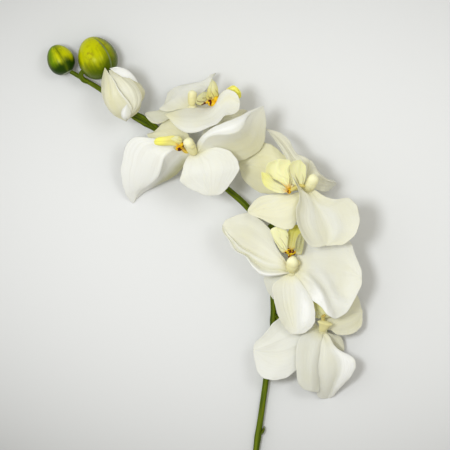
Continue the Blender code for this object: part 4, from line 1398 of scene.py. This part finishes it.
@dataclass(frozen=True)
class ClosedBud:
    """A closed green bud: an egg with three seams and a slight beak."""

    name: str
    node: str
    foot: Point
    tip: Point
    half: tuple[float, float]
    seam_at: float
    # The direction of the side that gets painted shade, how far towards the tip the foot is darker, and how
    # much darker the sides seen edge-on are painted.
    shade: Point
    dark: float
    painted_edge_shade: float = 0.15
    seam_width: float = 0.05
    pale_seam: float = 0.0
    pale_foot: float = 0.0
    rows: int = 96
    around: int = 144

    def build(self, material: bpy.types.Material) -> None:
        """Builds the bud.

        Args:
            material: Its material.
        """
        sculpt = Sculpt("seam", "pale", "flank", "foot", "east", "north")
        foot, tip = np.array(self.foot, float), np.array(self.tip, float)
        polar = np.linspace(0, math.pi, self.rows + 1)
        level = -np.cos(polar)
        route = (foot + tip) / 2 + (tip - foot) / 2 * level[:, None]
        angles = np.linspace(0, 2 * math.pi, self.around + 1)
        off_seam = np.mod((angles - self.seam_at) * 3 / (2 * math.pi) + 0.5, 1) - 0.5
        off_seam = np.abs(off_seam) * 2 * math.pi / 3
        clear = np.clip(np.sin(polar) * 1.6, 0, 1)[:, None]
        seam = np.exp(-((off_seam / self.seam_width) ** 2))[None, :] * clear
        groove = np.exp(-((off_seam / 0.07) ** 2))[None, :] * clear
        belly = np.sin(polar) * (1 - 0.12 * level) * self.half[0]
        ridge = 0.02 * np.cos(off_seam * 3)[None, :] * np.sin(polar)[:, None]
        radii = belly[:, None] * (1 - 0.02 * groove - ridge)
        from_first = np.mod(angles - self.seam_at + math.pi, 2 * math.pi) - math.pi
        pale = self.pale_seam * np.exp(-(from_first / 0.035) ** 2)
        ring = self.pale_foot * np.exp(-(((level + 0.93) / 0.03) ** 2))
        shown = np.clip(pale[None, :] * np.clip(np.sin(polar) * 1.3, 0, 1)[:, None] + ring[:, None], 0, 1)
        axis = unit(tip - foot)
        side = unit(np.cross(axis, (0, 0, 1)))
        up = np.cross(side, axis)
        spokes = side[None, :] * np.cos(angles)[:, None] + up[None, :] * np.sin(angles)[:, None]
        facing = spokes[None, :, :] * np.sin(polar)[:, None, None] + axis * level[:, None, None]
        # Painted shade: how far each point faces away from the lamps, darker still where the skin faces
        # sideways.
        flank = 0.5 + 0.5 * facing @ unit(np.array(self.shade, float))
        flank = flank + self.painted_edge_shade * (1 - facing[..., 2]) ** 2
        lower = np.clip((self.dark - level) / 0.8, 0, 1)[:, None] * np.ones(len(angles))
        east, north = (
            part[None, :] * np.ones((len(polar), 1)) for part in (np.cos(angles), np.sin(angles))
        )
        values = {"seam": seam, "pale": shown, "flank": flank, "foot": lower, "east": east, "north": north}
        sculpt.tube(route, radii, self.around, values, self.half[1] / self.half[0])
        sculpt.done(self.name, self.node, material)


@dataclass(frozen=True)
class Stem:
    """The flower stem with its scales, and the stalk of each bloom and bud."""

    route: tuple[Point, ...] = (
        (30, -196.5, 2.3), (31.8, -150, 2.5), (35.6, -100, 2.5), (40.5, -64, 2.8), (43.4, -43, 3.5),
        (48.2, -5, 5), (48, 20, 6.5), (45, 45, 7.5), (38.5, 66, 8), (29, 79, 8.5), (15.5, 91, 9),
        (0, 105, 9.5), (-16, 120, 10), (-31.5, 131, 10), (-49, 141, 10), (-60, 150.5, 9.5),
        (-71.5, 159.3, 10), (-83, 166.4, 11), (-93.3, 172.4, 11.2),
    )
    radius: tuple[float, ...] = (2.3, 2.05, 2.2, 2.15, 1.45)
    stalk_radius: tuple[float, float] = (1.9, 1.5)
    approach: float = 4.0
    bracts: tuple[tuple[float, int], ...] = (
        (0.06, -1), (0.135, 1), (0.285, 1), (0.345, -1), (0.455, -1), (0.585, 1), (0.66, 1), (0.75, 1),
    )
    bud_stalks: tuple[tuple[Point, ...], ...] = (
        ((-30, 130, 10.2), (-38, 137.5, 12.5), (-47, 142.5, 15.5), (-50, 143, 17)),
        ((-81.5, 165.5, 11), (-84.3, 166.6, 12.5), (-86, 169.5, 13.8), (-84.8, 172.2, 14.2),
         (-82, 172, 14)),
    )

    def build(self, flowers: tuple[Flower, ...], material: bpy.types.Material) -> None:
        """Builds the stem.

        Args:
            flowers: The blooms that it carries.
            material: Its material.
        """
        sculpt = Sculpt("pale")
        self.add_main(sculpt)
        for share, side in self.bracts:
            self.add_bract(sculpt, share, side)
        for flower in flowers:
            back = unit(np.array(flower.faces, float))
            end = np.array(flower.heart, float) - back * (flower.heart_radius + flower.seat_gap)
            self.add_stalk(sculpt, (*flower.stalk, tuple(end - back * self.approach), tuple(end)), 1.0)
        for stalk in self.bud_stalks:
            self.add_stalk(sculpt, stalk, 0.0)
        sculpt.done("flower_stem", "stem", material)

    def add_main(self, sculpt: Sculpt) -> None:
        """Adds the main stem, a little swollen at its scales and cut square at its end.

        Args:
            sculpt: The mesh that it goes into.
        """
        share = np.concatenate([[0, 0, 0], np.linspace(0.0006, 1, STEM_ROWS), [1, 1]])
        route = curve(np.array(self.route, float), share)
        radii = np.interp(share, np.linspace(0, 1, len(self.radius)), self.radius)
        for spot, _ in self.bracts:
            radii = radii + 0.28 * np.exp(-(((share - spot) / 0.006) ** 2))
        radii[:3] *= (0, 0.78, 0.96)
        radii[-2:] *= (0.85, 0)
        pale = np.where(np.arange(len(share)) < 2, 1.0, 0.0)[:, None] * np.ones(STEM_AROUND + 1)
        sculpt.tube(route, radii, STEM_AROUND, {"pale": pale})

    def add_stalk(self, sculpt: Sculpt, route: tuple[Point, ...], pale: float) -> None:
        """Adds a stalk with a rounded end.

        Args:
            sculpt: The mesh that it goes into.
            route: The points on its centre line.
            pale: How pale it turns towards its end.
        """
        share = np.concatenate([np.linspace(0, 1, STALK_ROWS), [1]])
        radii = self.stalk_radius[0] + (self.stalk_radius[1] - self.stalk_radius[0]) * share
        radii[[0, -1]] = 0
        points = curve(np.array(route, float), share)
        fade = pale * np.clip(share - 0.4, 0, 0.4)[:, None] * np.ones(STALK_AROUND + 1)
        sculpt.tube(points, radii, STALK_AROUND, {"pale": fade})

    def add_bract(self, sculpt: Sculpt, share: float, side: int) -> None:
        """Adds a small pointed scale that leans out to one side.

        Args:
            sculpt: The mesh that it goes into.
            share: How far along the stem it sits.
            side: 1 or -1, the side.
        """
        points = np.array(self.route, float)
        spot, next_spot = curve(points, np.array([share, share + 0.01]))
        ahead = unit(next_spot - spot)
        out = unit(np.cross(ahead, (0, 0, 1)) * side)
        across = np.cross(ahead, out)

        def place(forward: float, outward: float, sideways: float) -> Point:
            """A point beside the stem, by its distances along it, away from it and across it."""
            return tuple(spot + ahead * forward + out * outward + across * sideways)

        scale = Blade(
            midrib=(place(2, 2.6, 0), place(5, 3.6, 0), place(8, 3.4, 0)),
            left=(place(1, 1, -2.6), place(3.5, 2.2, -3), place(6, 3, -1.6)),
            right=(place(1, 1, 2.6), place(3.5, 2.2, 3), place(6, 3, 1.6)), pleat=0.0,
        )
        sculpt.blade(scale, tuple(spot), (16, 20), 0.6)


@dataclass(frozen=True)
class Lamp:
    """A square soft lamp: its place beside the middle of the picture, its side and its power in watts."""

    name: str
    place: Point
    side: float
    power: float
    colour: Point = (0.94, 0.97, 1.0)

    def build(self, aim: Vector) -> None:
        """Builds the lamp.

        Args:
            aim: The point that it shines on, in metres.
        """
        light = bpy.data.lights.new(self.name, "AREA")
        light.energy = self.power
        light.color = self.colour
        light.size = self.side
        lamp = bpy.data.objects.new(self.name, light)
        lamp.location = aim + Vector(self.place)
        lamp.rotation_euler = (-Vector(self.place)).to_track_quat("-Z", "Y").to_euler()
        bpy.context.scene.collection.objects.link(lamp)


@dataclass(frozen=True)
class Studio:
    """The floor, the light and the camera, which looks straight down on the spray."""

    aim: tuple[float, float] = (14.7, 65.1)
    frame_width: float = 315.0
    camera_height: float = 9000.0
    sensor: float = 36.0
    floor_size: float = 6.0
    sky: float = 0.49
    sky_colour: Point = (1.0, 0.965, 0.885)
    lamps: tuple[Lamp, ...] = (
        Lamp("key", (-0.52, 0.10, 1.6), 0.38, 12.2),
        Lamp("window", (-1.2, 0.45, 1.0), 1.3, 4.5),
        Lamp("far", (0.62, 0.45, 1.5), 0.6, 4.2),
    )

    def build(self) -> None:
        """Builds the studio."""
        self.add_floor()
        self.add_light()
        self.add_camera()

    def add_floor(self) -> None:
        """Adds the floor."""
        bm = bmesh.new()
        bmesh.ops.create_grid(bm, x_segments=2, y_segments=2, size=self.floor_size / 2)
        mesh = bpy.data.meshes.new("floor")
        bm.to_mesh(mesh)
        bm.free()
        mesh.materials.append(FloorFinish().material())
        floor = bpy.data.objects.new("floor", mesh)
        bpy.context.scene.collection.objects.link(floor)

    def add_light(self) -> None:
        """Adds an even pale surround and the lamps."""
        world = bpy.data.worlds.new("surround")
        world.use_nodes = True
        background = world.node_tree.nodes["Background"]
        background.inputs["Color"].default_value = (*self.sky_colour, 1)
        background.inputs["Strength"].default_value = self.sky
        bpy.context.scene.world = world
        bpy.context.scene.view_settings.view_transform = "Standard"
        for lamp in self.lamps:
            lamp.build(Vector((*self.aim, 0)) * MM)

    def add_camera(self) -> None:
        """Adds the camera."""
        camera = bpy.data.cameras.new("camera")
        camera.sensor_width = self.sensor
        camera.lens = self.sensor * self.camera_height / self.frame_width
        camera.clip_end = 20
        camera.clip_start = 1
        holder = bpy.data.objects.new("camera", camera)
        holder.location = (self.aim[0] * MM, self.aim[1] * MM, self.camera_height * MM)
        bpy.context.scene.collection.objects.link(holder)
        bpy.context.scene.camera = holder


def main() -> None:
    """Builds and dresses the whole spray."""
    logging.basicConfig(level=logging.INFO, format="%(message)s")
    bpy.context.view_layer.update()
    petal = PetalFinish().material()
    finishes = {
        "column": ColumnFinish().material(),
        "middle": LipFinish("middle lobe", Tone.LEMON, Tone.BUTTER, 0.0).material(),
        "side": LipFinish("side lobe", Tone.PALE_LEMON, Tone.BUTTER, 16.0).material(),
        "callus": CallusFinish().material(),
    }
    for flower in FLOWERS:
        flower.build(petal, finishes)
    OpeningBud().build(petal)
    ClosedBud(
        "large_bud", "bud_green_large", (-68.8, 167.9, 13.4), (-81, 196, 13.4), (13.7, 13.7), seam_at=0.9,
        shade=(0.52, -0.66, -0.55), dark=-0.05, pale_seam=0.35,
    ).build(BudFinish("large bud", Tone.LIME, Tone.GRASS, Tone.LEAF, Tone.LEAF).material())
    ClosedBud(
        "small_bud", "bud_green_small", (-95.2, 170.9, 11), (-105.6, 190.4, 11), (9.4, 8.8), seam_at=1.4,
        shade=(-0.5, -0.6, -0.65), dark=0.25, seam_width=0.14, pale_foot=0.8,
    ).build(BudFinish("small bud", Tone.LIME, Tone.FERN, Tone.LEAF, Tone.MOSS).material())
    Stem().build(FLOWERS, StemFinish().material())
    Studio().build()


if __name__ == "__main__":
    main()
